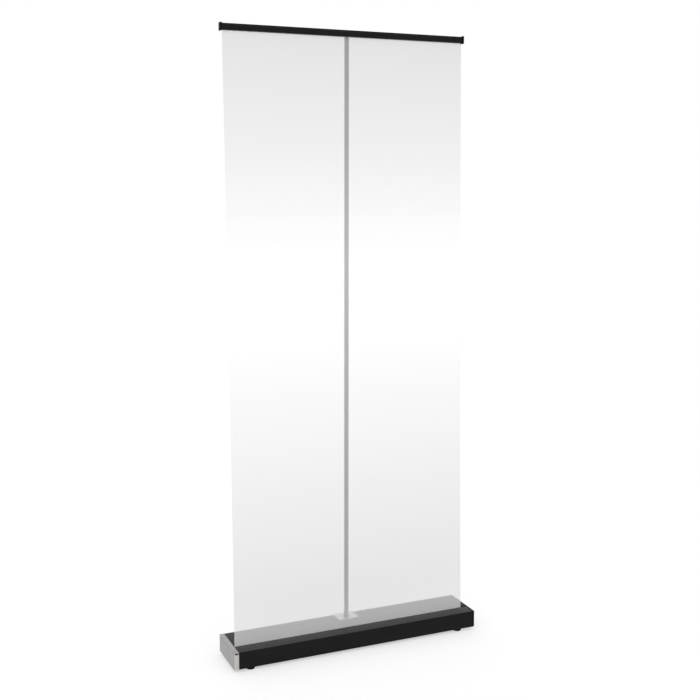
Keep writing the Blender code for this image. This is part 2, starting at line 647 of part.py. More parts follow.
def build_hook(plastic, base, hook_low):
    """The pole's head: a plug in the tube, a block behind the rail, a tongue level with its groove."""
    hook = rod("pole_hook", plastic, FERRULE_RADIUS, hook_low, POLE_TOP_Z + 4 * MM, base, ROUND_SIDES)
    block = box(
        "add_hook_block", None, (POLE_X - 9 * MM, POLE_Y - 8 * MM, POLE_TOP_Z + 2 * MM),
        (POLE_X + 9 * MM, POLE_Y + 8.5 * MM, POLE_TOP_Z + 19 * MM), bevel=1.5 * MM,
    )
    tongue_z = RAIL_Z + sum(RAIL_GROOVE_Z) / 2
    tongue = box(
        "add_hook_tongue", None, (POLE_X - 14 * MM, RAIL_BACK_Y + 0.4 * MM, tongue_z - 1.3 * MM),
        (POLE_X + 14 * MM, POLE_Y, tongue_z + 1.3 * MM), bevel=0.4 * MM, segments=1,
    )
    join(hook, block, tongue)
    return hook


def build_rail(black, plastic, rubber):
    """The snap rail: the back with the jaw's socket along its top, the jaw, a grip strip and end caps."""
    z, w = RAIL_Z, RAIL_WALL
    inner_front, rear = RAIL_FACE_Y, RAIL_BACK_Y
    notch_low, notch_high = (z + height for height in RAIL_GROOVE_Z)
    height = RAIL_HEIGHT
    pivot = (JAW_PIVOT_Y, JAW_PIVOT_Z)
    groove_low, groove_high, groove_deep = z + 4 * MM, z + 7 * MM, 0.9 * MM
    claw_out = z + height - JAW_PIVOT_Z
    claw_in = claw_out - 1.9 * MM
    back = [
        (inner_front, z), (rear, z), (rear, notch_low), (rear - w, notch_low), (rear - w, z + w),
        (inner_front + 2.2 * MM, z + w), (inner_front + 2.2 * MM, z + 13.2 * MM), (rear - w, z + 13.2 * MM),
        (rear - w, notch_high), (rear, notch_high), (rear, z + height),
    ]
    back += arc(pivot, claw_out, 90, 112, 2)
    back += arc(pivot, claw_in, 112, -84, 10)
    back += arc(pivot, claw_out - 0.3 * MM, -84, -40, 4)
    back += [
        (inner_front, z + 14.4 * MM), (inner_front, groove_high), (inner_front + groove_deep, groove_high),
        (inner_front + groove_deep, groove_low), (inner_front, groove_low),
    ]
    rail_back = extrusion("rail_back", black, [back], RAIL_X0, RAIL_X1, (0, FILM_TOP_Y, RAIL_Z))
    bead = claw_in - GAP
    front, film_side = RAIL_FRONT_Y, 20.3 * MM
    flange = 0.7 * MM
    jaw_top = JAW_PIVOT_Z + flange
    start = math.degrees(math.asin(flange / bead))
    jaw = [(front, z + 1.6 * MM), (front + 1.2 * MM, z + 0.3 * MM), (film_side, z + 0.3 * MM)]
    jaw += [(film_side, z + 2 * MM), (front + 1.8 * MM, z + 2 * MM), (front + 1.8 * MM, JAW_PIVOT_Z - flange)]
    jaw += arc(pivot, bead, 180 + start, 540 - start, 12)
    jaw += [(front + 1.2 * MM, jaw_top), (front, jaw_top - 1.3 * MM)]
    rail_jaw = extrusion(
        "rail_jaw", black, [jaw], RAIL_X0 + GAP, RAIL_X1 - GAP, (0, JAW_PIVOT_Y, JAW_PIVOT_Z)
    )
    strip = [
        (inner_front - 0.35 * MM, groove_low + GAP), (inner_front + groove_deep - GAP, groove_low + GAP),
        (inner_front + groove_deep - GAP, groove_high - GAP), (inner_front - 0.35 * MM, groove_high - GAP),
    ]
    grip = extrusion("rail_grip_strip", rubber, [strip], RAIL_X0 + GAP, RAIL_X1 - GAP)
    caps = []
    for label, x0, x1 in (
        ("left", RAIL_X0 - GAP - RAIL_CAP_LENGTH, RAIL_X0 - GAP),
        ("right", RAIL_X1 + GAP, RAIL_X1 + GAP + RAIL_CAP_LENGTH),
    ):
        lip = RAIL_CAP_LIP
        low, high = (x0, front - lip, z - lip), (x1, rear + lip, z + height + lip)
        cap = box(f"rail_cap_{label}", plastic, low, high, bevel=1.8 * MM)
        peg_x = (x1 - 1 * MM, x1 + 14 * MM) if label == "left" else (x0 - 14 * MM, x0 + 1 * MM)
        peg = box(
            f"add_rail_peg_{label}", None, (peg_x[0], inner_front + 2.5 * MM, z + 2 * MM),
            (peg_x[1], rear - w - GAP, z + 7.8 * MM),
        )
        join(cap, peg)
        caps.append(cap)
    return rail_back, rail_jaw, grip, caps


def build_feet(rubber, steel):
    """Each foot: a turned rubber pad on a threaded stud, screwed into an insert in the cassette's floor."""
    feet = []
    top = FOOT_HEIGHT - 2 * INSET
    bore = STUD_RADIUS + GAP
    r = FOOT_RADIUS
    pad_profile = [
        (0, 0), (r - 2.2 * MM, 0), (r - 0.6 * MM, 0.8 * MM), (r, 2.4 * MM), (r, 5.4 * MM),
        (r - 2.4 * MM, top), (bore, top), (bore, STUD_FLOOR), (0, STUD_FLOOR),
    ]
    seat = FLOOR_Z + SHELL_WALL + GAP
    insert_profile = [
        (bore, FLOOR_Z + INSET), (INSERT_RADIUS, FLOOR_Z + INSET), (INSERT_RADIUS, seat),
        (INSERT_FLANGE, seat), (INSERT_FLANGE, FLOOR_Z + 4 * MM), (INSERT_RADIUS, FLOOR_Z + 4.4 * MM),
        (INSERT_RADIUS, FLOOR_Z + 10 * MM), (bore, FLOOR_Z + 10 * MM),
    ]
    for corner, x, y in FOOT_PLACES:
        base = (x, y, 0)
        pad = turned(f"foot_pad_{corner}", rubber, pad_profile, base, ROUND_SIDES)
        stud = rod(f"foot_stud_{corner}", steel, STUD_RADIUS, STUD_FLOOR + GAP, STUD_TOP, base, SMALL_SIDES)
        insert = turned(f"foot_insert_{corner}", steel, insert_profile, base, SMALL_SIDES)
        feet.append((corner, pad, stud, insert))
    return feet


def main():
    clear_scene()
    black = make_material("black_anodised", (0.018, 0.018, 0.019), 0.42, 0.6)
    pole_black = make_material("black_painted_tube", (0.02, 0.02, 0.021), 0.38, 0.3)
    plastic = make_material("black_plastic", (0.016, 0.016, 0.017), 0.5)
    rubber = make_material("black_rubber", (0.02, 0.02, 0.02), 0.85)
    silver = make_material("satin_silver", (0.62, 0.61, 0.6), 0.34, 0.85)
    steel = make_material("zinc_steel", (0.55, 0.55, 0.56), 0.35, 1.0)
    aluminium = make_material("mill_aluminium", (0.7, 0.71, 0.72), 0.4, 1.0)
    film = make_material("clear_film", (0.9, 0.9, 0.9), 0.25, 0.0, 0.6)
    cord = make_material("elastic_cord", (0.05, 0.05, 0.055), 0.9)

    shell = build_shell(black)
    frame, door, pin = build_left_end(silver, steel)
    right_cap = build_right_end(plastic)
    screws = build_cap_screws(steel)
    lips = build_slot_lips(rubber)
    roller_pieces = build_roller(aluminium, plastic, steel, film)
    roller, roll, plug_left, plug_right, shaft, fixed, turning, spring = roller_pieces
    leader, banner = build_film(film)
    socket = build_socket(silver, plastic, steel)
    pole = build_pole(pole_black, plastic, cord)
    rail_back, rail_jaw, grip, caps = build_rail(black, plastic, rubber)
    feet = build_feet(rubber, steel)

    hang_on(shell, frame, right_cap, pin, shaft, fixed, spring, leader, banner, *screws, *lips, *socket)
    roller_axis = joint_empty("joint_roller", (0, ROLLER_Y, ROLLER_Z))
    hang_on(roller_axis, roller, roll, plug_left, plug_right, turning)
    hang_on(shell, roller_axis, door)
    rail_axis = joint_empty("joint_rail", (0, FILM_TOP_Y, RAIL_Z))
    hang_on(rail_axis, rail_back, grip, *caps, rail_jaw)
    hang_on(shell, rail_axis)
    plug, lower, ferrule_1, middle, ferrule_2, upper, cord_1, cord_2, hook = pole
    pole_axis = joint_empty("joint_pole", (POLE_X, POLE_Y, POLE_FOOT_Z))
    middle_axis = joint_empty("joint_pole_middle", (POLE_X, POLE_Y, POLE_JOINT_1_Z))
    upper_axis = joint_empty("joint_pole_upper", (POLE_X, POLE_Y, POLE_JOINT_2_Z))
    hang_on(upper_axis, upper, hook)
    hang_on(middle_axis, middle, ferrule_2, cord_2, upper_axis)
    hang_on(pole_axis, plug, lower, ferrule_1, cord_1, middle_axis)
    hang_on(shell, pole_axis)
    for corner, pad, stud, insert in feet:
        foot_axis = joint_empty(f"joint_foot_{corner}", (pad.location.x, pad.location.y, 0))
        hang_on(foot_axis, pad, stud)
        hang_on(shell, foot_axis, insert)


main()
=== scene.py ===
"""Roll-up banner stand: the finished surfaces of the cassette, pole, rail and film, built round
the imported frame."""

import json
import math

import bmesh
import bpy
from mathutils import Euler, Matrix, Vector

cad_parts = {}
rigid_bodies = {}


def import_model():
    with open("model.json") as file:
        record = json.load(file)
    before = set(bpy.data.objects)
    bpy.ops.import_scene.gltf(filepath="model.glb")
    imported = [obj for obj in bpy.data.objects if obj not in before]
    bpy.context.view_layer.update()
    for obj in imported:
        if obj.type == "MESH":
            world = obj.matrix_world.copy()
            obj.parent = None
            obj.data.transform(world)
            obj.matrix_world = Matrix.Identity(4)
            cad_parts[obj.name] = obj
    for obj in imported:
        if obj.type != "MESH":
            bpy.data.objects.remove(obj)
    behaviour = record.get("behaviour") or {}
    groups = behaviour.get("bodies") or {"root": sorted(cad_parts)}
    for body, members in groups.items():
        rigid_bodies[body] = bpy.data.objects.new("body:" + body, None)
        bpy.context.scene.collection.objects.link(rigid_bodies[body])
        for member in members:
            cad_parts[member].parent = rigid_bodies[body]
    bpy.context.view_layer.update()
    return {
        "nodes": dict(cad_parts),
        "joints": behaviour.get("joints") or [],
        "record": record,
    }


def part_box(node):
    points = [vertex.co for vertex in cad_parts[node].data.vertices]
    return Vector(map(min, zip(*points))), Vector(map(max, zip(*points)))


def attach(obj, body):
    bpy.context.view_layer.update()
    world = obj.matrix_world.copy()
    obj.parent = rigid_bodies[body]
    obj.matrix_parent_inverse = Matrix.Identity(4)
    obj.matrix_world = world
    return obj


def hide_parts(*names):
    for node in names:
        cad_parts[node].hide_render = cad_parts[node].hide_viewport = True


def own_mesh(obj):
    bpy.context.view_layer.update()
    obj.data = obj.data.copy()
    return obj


for startup_object in list(bpy.data.objects):
    bpy.data.objects.remove(startup_object, do_unlink=True)

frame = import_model()

MM = 0.001
TINY = 0.001 * MM
X, Z = 0, 2
ROUND = 64  # facets round a turned piece
SHARP = math.radians(40)
CORNERS = ("front_left", "front_right", "back_left", "back_right")
SIDES = ("left", "right")
ROWS = ("front", "back")

# Where the driving pieces are, read from the frame
SHELL_LOW, SHELL_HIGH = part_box("cassette_body")
FILM_LOW, FILM_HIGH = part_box("banner_film")
RAIL_LOW, RAIL_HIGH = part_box("rail_back")
JAW_LOW, JAW_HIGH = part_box("rail_jaw")
POLE_LOW, POLE_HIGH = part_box("pole_lower")
PLATE_LOW, PLATE_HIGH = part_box("pole_socket")
LEFT_LOW, LEFT_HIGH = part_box("end_frame_left")
POLE_RADIUS = (POLE_HIGH.x - POLE_LOW.x) / 2
POLE_CENTRE = Vector(((POLE_LOW.x + POLE_HIGH.x) / 2, (POLE_LOW.y + POLE_HIGH.y) / 2, 0))
PLUG_RADIUS = POLE_RADIUS - 1.3 * MM
ROOF_Z = SHELL_HIGH.z
JOINTS = {joint["name"]: joint for joint in frame["joints"]}

# Sizes that more than one piece uses
LIP_WALL = 1.6 * MM
HEAD_HEIGHT = 2.2 * MM
SHANK, SHANK_ROOT, SHANK_PITCH = 1.6 * MM, 1.35 * MM, 0.7 * MM
RECESS_REACH = 1.9 * MM
SCREW_HOLE = 2.2 * MM


# Shader arithmetic ------------------------------------------------------------------------------


def maths(operation):
    """The plain and the reflected form of one operator, each adding one Math node."""

    def forward(self, other):
        return self.paint.node("ShaderNodeMath", {"operation": operation}, {0: self, 1: other})

    def reflected(self, other):
        return self.paint.node("ShaderNodeMath", {"operation": operation}, {0: other, 1: self})

    return forward, reflected


class Mark:
    """A value that varies over a surface, such as how worn or how dusty a spot is."""

    __add__, __radd__ = maths("ADD")
    __sub__, __rsub__ = maths("SUBTRACT")
    __mul__, __rmul__ = maths("MULTIPLY")

    def __init__(self, paint, socket):
        self.paint = paint
        self.socket = socket

    def between(self, low, high):
        """0 below low, 1 above high, and a soft step from one to the other."""
        settings = {"interpolation_type": "SMOOTHSTEP"}
        return self.paint.node("ShaderNodeMapRange", settings, {0: self, 1: low, 2: high})


class Paint:
    """One finish: a Principled shader. Its even values are set on it, its uneven ones are Marks."""

    def __init__(self, name, **even):
        self.material = bpy.data.materials.new(name)
        self.material.use_nodes = True
        self.tree = self.material.node_tree
        self.shader = self.tree.nodes["Principled BSDF"]
        for socket, value in even.items():
            self.shader.inputs[socket.replace("_", " ")].default_value = value

    def node(self, kind, settings=None, inputs=None, output=0):
        """Adds a node: its settings first, then the values or links of its sockets."""
        made = self.tree.nodes.new(kind)
        for setting, value in (settings or {}).items():
            if setting == "stops":
                self.set_stops(made.color_ramp, value)
            else:
                setattr(made, setting, value)
        for socket, value in (inputs or {}).items():
            self.feed(made.inputs[socket], value)
        return Mark(self, made.outputs[output])

    def set_stops(self, ramp, stops):
        """Gives a colour ramp its stops, each a place and a colour."""
        while len(ramp.elements) < len(stops):
            ramp.elements.new(1.0)
        for element, (position, colour) in zip(ramp.elements, stops):
            element.position = position
            element.color = (*colour, 1.0)

    def feed(self, socket, value):
        """Links a mark to a socket, or sets a plain value on it."""
        if isinstance(value, Mark):
            self.tree.links.new(value.socket, socket)
        else:
            socket.default_value = value

    def cover(self, **uneven):
        """Links marks to the shader's own sockets, named with underscores for spaces."""
        for socket, value in uneven.items():
            self.feed(self.shader.inputs[socket.replace("_", " ")], value)

    def place(self):
        return self.node("ShaderNodeTexCoord", output="Object")

    def stretched(self, scale):
        """The place on the piece, multiplied along X, Y and Z."""
        times = {"operation": "MULTIPLY"}
        return self.node("ShaderNodeVectorMath", times, {0: self.place(), 1: scale})

    def axis(self, name):
        return self.node("ShaderNodeSeparateXYZ", None, {0: self.place()}, output=name)

    def facing(self, name):
        """How far the surface faces along an axis, from -1 to 1."""
        normal = self.node("ShaderNodeTexCoord", output="Normal")
        return self.node("ShaderNodeSeparateXYZ", None, {0: normal}, output=name)

    def noise(self, scale, detail=3.0, rough=0.55):
        """Cloudy noise; scale is its number of clouds per metre along X, Y and Z."""
        inputs = {"Vector": self.stretched(scale), "Scale": 1.0, "Detail": detail, "Roughness": rough}
        return self.node("ShaderNodeTexNoise", None, inputs, output="Fac")

    def cells(self, scale, output="Distance"):
        inputs = {"Vector": self.stretched(scale), "Scale": 1.0}
        return self.node("ShaderNodeTexVoronoi", None, inputs, output=output)

    def edges(self, width, low, high):
        """1 along the edges of a piece, 0 on its faces."""
        softened = self.node("ShaderNodeBevel", {"samples": 6}, {"Radius": width})
        flat = self.node("ShaderNodeNewGeometry", output="Normal")
        dot = {"operation": "DOT_PRODUCT"}
        turned = self.node("ShaderNodeVectorMath", dot, {0: softened, 1: flat}, "Value")
        return (1.0 - turned).between(low, high)

    def mix(self, amount, first, second):
        """A colour between two, by amount. A colour is three numbers or a mark."""
        settings = {"data_type": "RGBA"}
        colours = [c if isinstance(c, Mark) else (*c, 1.0) for c in (first, second)]
        inputs = {0: amount, 6: colours[0], 7: colours[1]}
        return self.node("ShaderNodeMix", settings, inputs, output=2)

    def ramp(self, along, levels, tint=(1.0, 1.0, 1.0)):
        """A tone that follows levels, which are pairs of a place from 0 to 1 and the tone there."""
        stops = [(place, [tone * share for share in tint]) for place, tone in levels]
        return self.node("ShaderNodeValToRGB", {"stops": stops}, {0: along})

    def relief(self, height, strength, depth):
        """Bumps the surface by height, where depth is how tall a height of 1 is."""
        inputs = {"Strength": strength, "Distance": depth, "Height": height}
        self.cover(Normal=self.node("ShaderNodeBump", None, inputs))


# Finishes ---------------------------------------------------------------------------------------


def anodised_black():
    """Satin black anodising over an extrusion, with drawing lines along its length."""
    paint = Paint("black_anodised", Specular_IOR_Level=0.115)
    lines = paint.noise((2.5, 620, 620), detail=4.0, rough=0.7)
    patches = paint.noise((9, 26, 26), detail=3.0)
    grain = paint.noise((2600, 2600, 2600), detail=1.0)
    edge_mask = paint.edges(0.5 * MM, 0.02, 0.22) * paint.noise((60, 240, 240)).between(0.42, 0.7)
    shade = lines * 0.55 + patches * 0.45
    body = paint.mix(shade.between(0.25, 0.75), (0.0036, 0.0032, 0.0033), (0.0078, 0.0070, 0.0071))
    # painted light: faces that face up are painted lighter, patchily and less behind the film slot,
    # standing in for the light they catch from above
    slot_y, fade = FILM_LOW.y + 1.4 * MM, 10 * MM
    before_film = 1.0 - 0.6 * paint.axis("Y").between(slot_y, slot_y + fade)
    painted_top_light = paint.facing("Z").between(0.6, 0.95) * before_film * (0.75 + patches * 0.5)
    body = paint.mix(painted_top_light, body, (0.030, 0.0275, 0.0265))
    paint.cover(Base_Color=paint.mix(edge_mask * 0.5, body, (0.05, 0.05, 0.052)))
    paint.cover(Roughness=0.32 + lines * 0.12 + patches * 0.08)
    paint.relief(lines * 0.7 + grain * 0.3, 0.12, 0.05 * MM)
    return paint.material


def powder_black():
    """Black powder coat on the pole's tubes: a fine orange peel with a few pale rub marks."""
    paint = Paint("black_tube", Specular_IOR_Level=0.25)
    peel = paint.noise((1500, 1500, 1500), detail=2.0)
    rubs = paint.noise((300, 300, 14), detail=4.0, rough=0.65).between(0.62, 0.8)
    patches = paint.noise((30, 30, 6))
    edge_mask = paint.edges(0.4 * MM, 0.02, 0.25)
    body = paint.mix(patches.between(0.3, 0.7), (0.006, 0.006, 0.0062), (0.011, 0.011, 0.0112))
    body = paint.mix(rubs * 0.35, body, (0.03, 0.03, 0.031))
    paint.cover(Base_Color=paint.mix(edge_mask * 0.4, body, (0.09, 0.09, 0.092)))
    paint.cover(Roughness=0.34 + patches * 0.1 + rubs * 0.12)
    paint.relief(peel, 0.16, 0.06 * MM)
    return paint.material


def moulded_black():
    """Black moulded plastic with a spark-eroded grain."""
    paint = Paint("black_plastic", Specular_IOR_Level=0.08)
    grain = paint.noise((1900, 1900, 1900), detail=3.0, rough=0.6)
    pits = paint.cells((1100, 1100, 1100))
    patches = paint.noise((22, 40, 40))
    scuffed = paint.edges(0.6 * MM, 0.03, 0.3) * paint.noise((150, 150, 150)).between(0.4, 0.65)
    body = paint.mix(patches.between(0.3, 0.7), (0.0020, 0.0018, 0.0019), (0.0042, 0.0039, 0.0040))
    paint.cover(Base_Color=paint.mix(scuffed * 0.45, body, (0.035, 0.035, 0.036)))
    paint.cover(Roughness=0.42 + grain * 0.14 + patches * 0.06)
    paint.relief(grain * 0.6 + pits * 0.4, 0.22, 0.08 * MM)
    return paint.material


def soft_rubber():
    """Matt black rubber, greyed by dust low down where it stands on the floor."""
    paint = Paint("black_rubber", Specular_IOR_Level=0.12)
    grain = paint.noise((1300, 1300, 1300), detail=3.0)
    dust = paint.noise((120, 120, 120), detail=4.0).between(0.45, 0.75)
    low = 1.0 - paint.axis("Z").between(0.0, 7 * MM)
    body = paint.mix(dust * (0.25 + low * 0.5), (0.0055, 0.0055, 0.0055), (0.035, 0.033, 0.03))
    paint.cover(Base_Color=body, Roughness=0.72 + grain * 0.18)
    paint.relief(grain, 0.3, 0.08 * MM)
    return paint.material


def satin_silver(name, for_frame):
    """Satin silver plating on the end door and its frame.

    Light and shade are painted in: faces that face forward are painted lighter, the frame's front edge
    below the opening most of all, and the edges are lighter from wear together with a painted edge
    highlight. The frame's faces behind the door and in the opening over the door, and the door's top,
    are painted black as the shade in those gaps."""
    # painted shade: the black painted on faces that lie in the shade of the gaps round the door
    painted_gap_shade = (0.004, 0.004, 0.004)
    opening_z, recess_x = LEFT_HIGH.z - 7.7 * MM, LEFT_LOW.x + 6.5 * MM
    paint = Paint(name, Metallic=0.55, Specular_IOR_Level=0.4)
    satin = paint.noise((1400, 260, 1400), detail=3.0, rough=0.6)
    patches = paint.noise((45, 30, 30), detail=4.0, rough=0.6)
    forward = 0.0 - paint.facing("Y")
    up = paint.facing("Z")
    edge_mask = paint.edges(0.6 * MM, 0.02, 0.25)
    shade = satin * 0.4 + patches * 0.6
    body = paint.mix(shade.between(0.3, 0.7), (0.27, 0.264, 0.262), (0.34, 0.333, 0.329))
    # the edges are painted lighter: wear together with a painted edge highlight
    body = paint.mix(edge_mask * 0.5, body, (0.5, 0.495, 0.49))
    if for_frame:
        outward = 0.0 - paint.facing("X")
        height = paint.axis("Z")
        below_opening = 1.0 - height.between(opening_z, opening_z + 1 * MM)
        recessed = paint.axis("X").between(recess_x, recess_x + 1 * MM)
        under_roof = (0.0 - up).between(0.5, 0.9) * height.between(opening_z, opening_z + 2 * MM)
        # painted highlight: the frame's faces that face forward, below the opening, are painted light
        body = paint.mix(forward.between(0.5, 0.9) * below_opening, body, (0.70, 0.68, 0.66))
        # painted shade: the frame's outward faces in the recess behind the door, and its faces under
        # the roof over the opening, are painted black
        body = paint.mix(recessed * outward.between(0.5, 0.9), body, painted_gap_shade)
        body = paint.mix(under_roof, body, painted_gap_shade)
    else:
        # painted highlight: the door's faces that face forward are painted lighter
        body = paint.mix(forward.between(0.5, 0.9), body, (0.50, 0.485, 0.472))
        # painted shade: the door's top, in the gap under the frame, is painted black
        body = paint.mix(up.between(0.25, 0.5), body, painted_gap_shade)
    paint.cover(Base_Color=body, Roughness=0.34 + patches * 0.12 - edge_mask * 0.08)
    paint.relief(satin, 0.1, 0.04 * MM)
    return paint.material


def brushed_plate():
    """The pole's base plate: stainless steel brushed along the cassette."""
    paint = Paint("plate_silver", Metallic=0.8)
    brushing = paint.noise((30, 2600, 2600), detail=4.0, rough=0.7)
    patches = paint.noise((60, 60, 60), detail=3.0)
    scratches = paint.noise((900, 60, 900), detail=2.0, rough=0.8).between(0.68, 0.76)
    edge_mask = paint.edges(0.5 * MM, 0.02, 0.25)
    body = paint.mix(brushing.between(0.3, 0.7), (0.42, 0.42, 0.425), (0.58, 0.58, 0.582))
    body = paint.mix(edge_mask * 0.6, body, (0.68, 0.68, 0.68))
    paint.cover(Base_Color=paint.mix(scratches * 0.3, body, (0.62, 0.62, 0.62)))
    paint.cover(Roughness=0.27 + brushing * 0.16 + patches * 0.08)
    paint.relief(brushing - scratches * 0.4, 0.14, 0.04 * MM)
    return paint.material


def zinc_plate():
    """Bright zinc on screws, studs and the spring, with faint blue and straw clouds."""
    paint = Paint("zinc_steel", Metallic=0.95)
    clouds = paint.noise((260, 260, 260), detail=3.0)
    spangle = paint.cells((700, 700, 700), output="Color")
    grain = paint.noise((2200, 2200, 2200), detail=2.0)
    body = paint.mix(clouds.between(0.3, 0.7), (0.46, 0.47, 0.5), (0.58, 0.565, 0.52))
    paint.cover(Base_Color=paint.mix(0.08, body, spangle))
    paint.cover(Roughness=0.26 + clouds * 0.16 + grain * 0.06)
    paint.relief(grain, 0.12, 0.04 * MM)
    return paint.material


def mill_aluminium():
    """Unfinished aluminium of the roller, with die lines round and along it."""
    paint = Paint("mill_aluminium", Metallic=1.0)
    lines = paint.noise((6, 1200, 1200), detail=4.0, rough=0.7)
    smears = paint.noise((24, 90, 90), detail=4.0)
    shade = lines * 0.6 + smears * 0.4
    body = paint.mix(shade.between(0.3, 0.7), (0.5, 0.51, 0.52), (0.68, 0.68, 0.69))
    paint.cover(Base_Color=body, Roughness=0.3 + lines * 0.15 + smears * 0.1)
    paint.relief(lines, 0.15, 0.04 * MM)
    return paint.material


def printed_film():
    """Translucent film with a white print, densest a little above its middle and grey at both ends.

    The levels go from the foot of the film, 0, to its top, 1. Close to the cassette the film
    has a painted glow: it gives off a little light of its own."""
    print_tones = (
        (0.0, 0.61), (0.064, 0.60), (0.12, 0.605), (0.25, 0.67), (0.40, 0.80), (0.50, 0.93),
        (0.62, 0.95), (0.67, 0.875), (0.73, 0.80), (0.8, 0.70), (1.0, 0.528),
    )
    coverage = ((0.0, 0.632), (0.05, 0.6), (0.11, 0.562), (0.5, 0.447), (1.0, 0.562))
    # painted glow: near its foot, over the dark cassette, the film is given light of its own
    painted_glow = ((0.0, 0.2), (0.02, 0.1), (0.05, 0.03), (0.08, 0.0))
    paint = Paint("clear_film", Specular_IOR_Level=0.25, Emission_Strength=1.0)
    spot = paint.node("ShaderNodeTexCoord", output="UV")
    height = paint.node("ShaderNodeSeparateXYZ", None, {0: spot}, output="Y")
    print_tone = paint.ramp(height, print_tones, (1.004, 1.0, 1.02))
    paint.cover(Alpha=paint.ramp(height, coverage), Emission_Color=paint.ramp(height, painted_glow))
    ink = paint.noise((140, 140, 140), detail=5.0, rough=0.7)
    waves = paint.noise((2.2, 1, 1.1), detail=1.0)
    grain = paint.noise((1600, 1600, 1600), detail=2.0)
    mottle = (ink - 0.5) * 0.05 + 0.02
    paint.cover(Base_Color=paint.mix(mottle, print_tone, (0.5, 0.51, 0.53)))
    paint.cover(Roughness=0.3 + grain * 0.1 + waves * 0.06)
    paint.relief(waves * 0.9 + grain * 0.004, 0.25, 2.0 * MM)
    return paint.material


def woven_cord():
    """Dark braided sleeve of the elastic that holds the pole's sections together."""
    paint = Paint("elastic_cord", Specular_IOR_Level=0.2)
    slope = {"wave_type": "BANDS", "bands_direction": "DIAGONAL"}
    strands = [{"Vector": paint.stretched((lay, 1, 1)), "Scale": 260.0} for lay in (1, -1)]
    one_way, other_way = [paint.node("ShaderNodeTexWave", slope, lay, "Fac") for lay in strands]
    braid = one_way * other_way
    fuzz = paint.noise((3000, 3000, 900), detail=2.0)
    body = paint.mix(braid, (0.012, 0.012, 0.014), (0.07, 0.07, 0.075))
    paint.cover(Base_Color=body, Roughness=0.8 + fuzz * 0.15)
    paint.relief(braid + fuzz * 0.3, 0.5, 0.2 * MM)
    return paint.material


def studio_floor():
    """Matt white floor with a light of its own, so that shadows on it stay faint."""
    paint = Paint("studio_floor", Specular_IOR_Level=0.1, Emission_Strength=0.522)
    paint.cover(Emission_Color=(1, 1, 1, 1))
    drift = paint.noise((1.5, 1.5, 1.5), detail=2.0)
    paint.cover(Base_Color=paint.mix(drift, (0.40, 0.40, 0.40), (0.42, 0.42, 0.42)))
    paint.cover(Roughness=0.75 + drift * 0.1)
    return paint.material


FINISHES = {
    "black_anodised": anodised_black(),
    "black_tube": powder_black(),
    "black_plastic": moulded_black(),
    "black_rubber": soft_rubber(),
    "satin_silver": satin_silver("satin_silver", for_frame=False),
    "plate_silver": brushed_plate(),
    "zinc_steel": zinc_plate(),
    "mill_aluminium": mill_aluminium(),
    "clear_film": printed_film(),
    "elastic_cord": woven_cord(),
}
FRAME_SILVER = satin_silver("satin_silver_frame", for_frame=True)


# Mesh building ----------------------------------------------------------------------------------


def place_object(name, data):
    """An object in the scene with the given mesh, curve, light or camera."""
    made = bpy.data.objects.new(name, data)
    bpy.context.scene.collection.objects.link(made)
    return made


def sheet_piece(name, bm):
    """An object from a worked mesh whose faces already face the right way."""
    mesh = bpy.data.meshes.new(name)
    bm.to_mesh(mesh)
    bm.free()
    return place_object(name, mesh)


def mesh_piece(name, bm):
    """An object from a worked mesh, with its faces turned outward."""
    bmesh.ops.recalc_face_normals(bm, faces=bm.faces)
    return sheet_piece(name, bm)


def middle_of(node):
    low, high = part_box(node)
    return (low + high) / 2


def rounded(outline, steps=6):
    """An outline whose corners are arcs. Each corner is (a, b, radius)."""
    nearly_straight = math.radians(88)
    points = []
    for i, (a, b, radius) in enumerate(outline):
        corner = Vector((a, b))
        before = Vector(outline[i - 1][:2])
        after = Vector(outline[(i + 1) % len(outline)][:2])
        to_before, to_after = (before - corner).normalized(), (after - corner).normalized()
        half = to_before.angle(to_after) / 2
        if radius < TINY or half > nearly_straight:
            points.append(corner)
            continue
        middle = corner + (to_before + to_after).normalized() * (radius / math.sin(half))
        reach = radius / math.tan(half)
        start, end = corner + to_before * reach, corner + to_after * reach
        for k in range(steps + 1):
            spoke = (start - middle).slerp(end - middle, k / steps).normalized()
            points.append(middle + spoke * radius)
    return [tuple(p) for p in points]


def rod_profile(radius, start, end):
    """A plain round rod, for lathe()."""
    return [(0, start), (radius, start), (radius, end), (0, end)]


def arc(centre, radius, start, end, steps):
    """Points on an arc, from one angle to another in degrees."""
    turns = [math.radians(start + (end - start) * i / steps) for i in range(steps + 1)]
    return [(centre[0] + radius * math.cos(t), centre[1] + radius * math.sin(t)) for t in turns]


def bar(name, outline, x0, x1):
    """An extrusion along X. The outline is (y, z) points."""
    bm = bmesh.new()
    near, far = [[bm.verts.new((x, y, z)) for y, z in outline] for x in (x0, x1)]
    count = len(outline)
    for i in range(count):
        k = (i + 1) % count
        bm.faces.new((near[i], near[k], far[k], far[i]))
    bm.faces.new(near)
    bm.faces.new(far)
    return mesh_piece(name, bm)


def lathe(name, profile, centre, sides=ROUND, along="Z"):
    """A closed (radius, height) profile turned about Z or X through centre."""
    bm = bmesh.new()
    ring = [bm.verts.new((radius, 0, height)) for radius, height in profile]
    edges = [bm.edges.new((ring[i - 1], ring[i])) for i in range(len(ring))]
    turn = {"cent": (0, 0, 0), "axis": (0, 0, 1), "angle": 2 * math.pi, "steps": sides}
    bmesh.ops.spin(bm, geom=ring + edges, use_merge=True, **turn)
    bmesh.ops.remove_doubles(bm, verts=bm.verts, dist=TINY)
    bmesh.ops.dissolve_degenerate(bm, edges=bm.edges, dist=TINY / 10)
    if along == "X":
        quarter = Matrix.Rotation(math.pi / 2, 3, "Y")
        bmesh.ops.rotate(bm, verts=bm.verts, cent=(0, 0, 0), matrix=quarter)
    bmesh.ops.translate(bm, verts=bm.verts, vec=centre)
    return mesh_piece(name, bm)


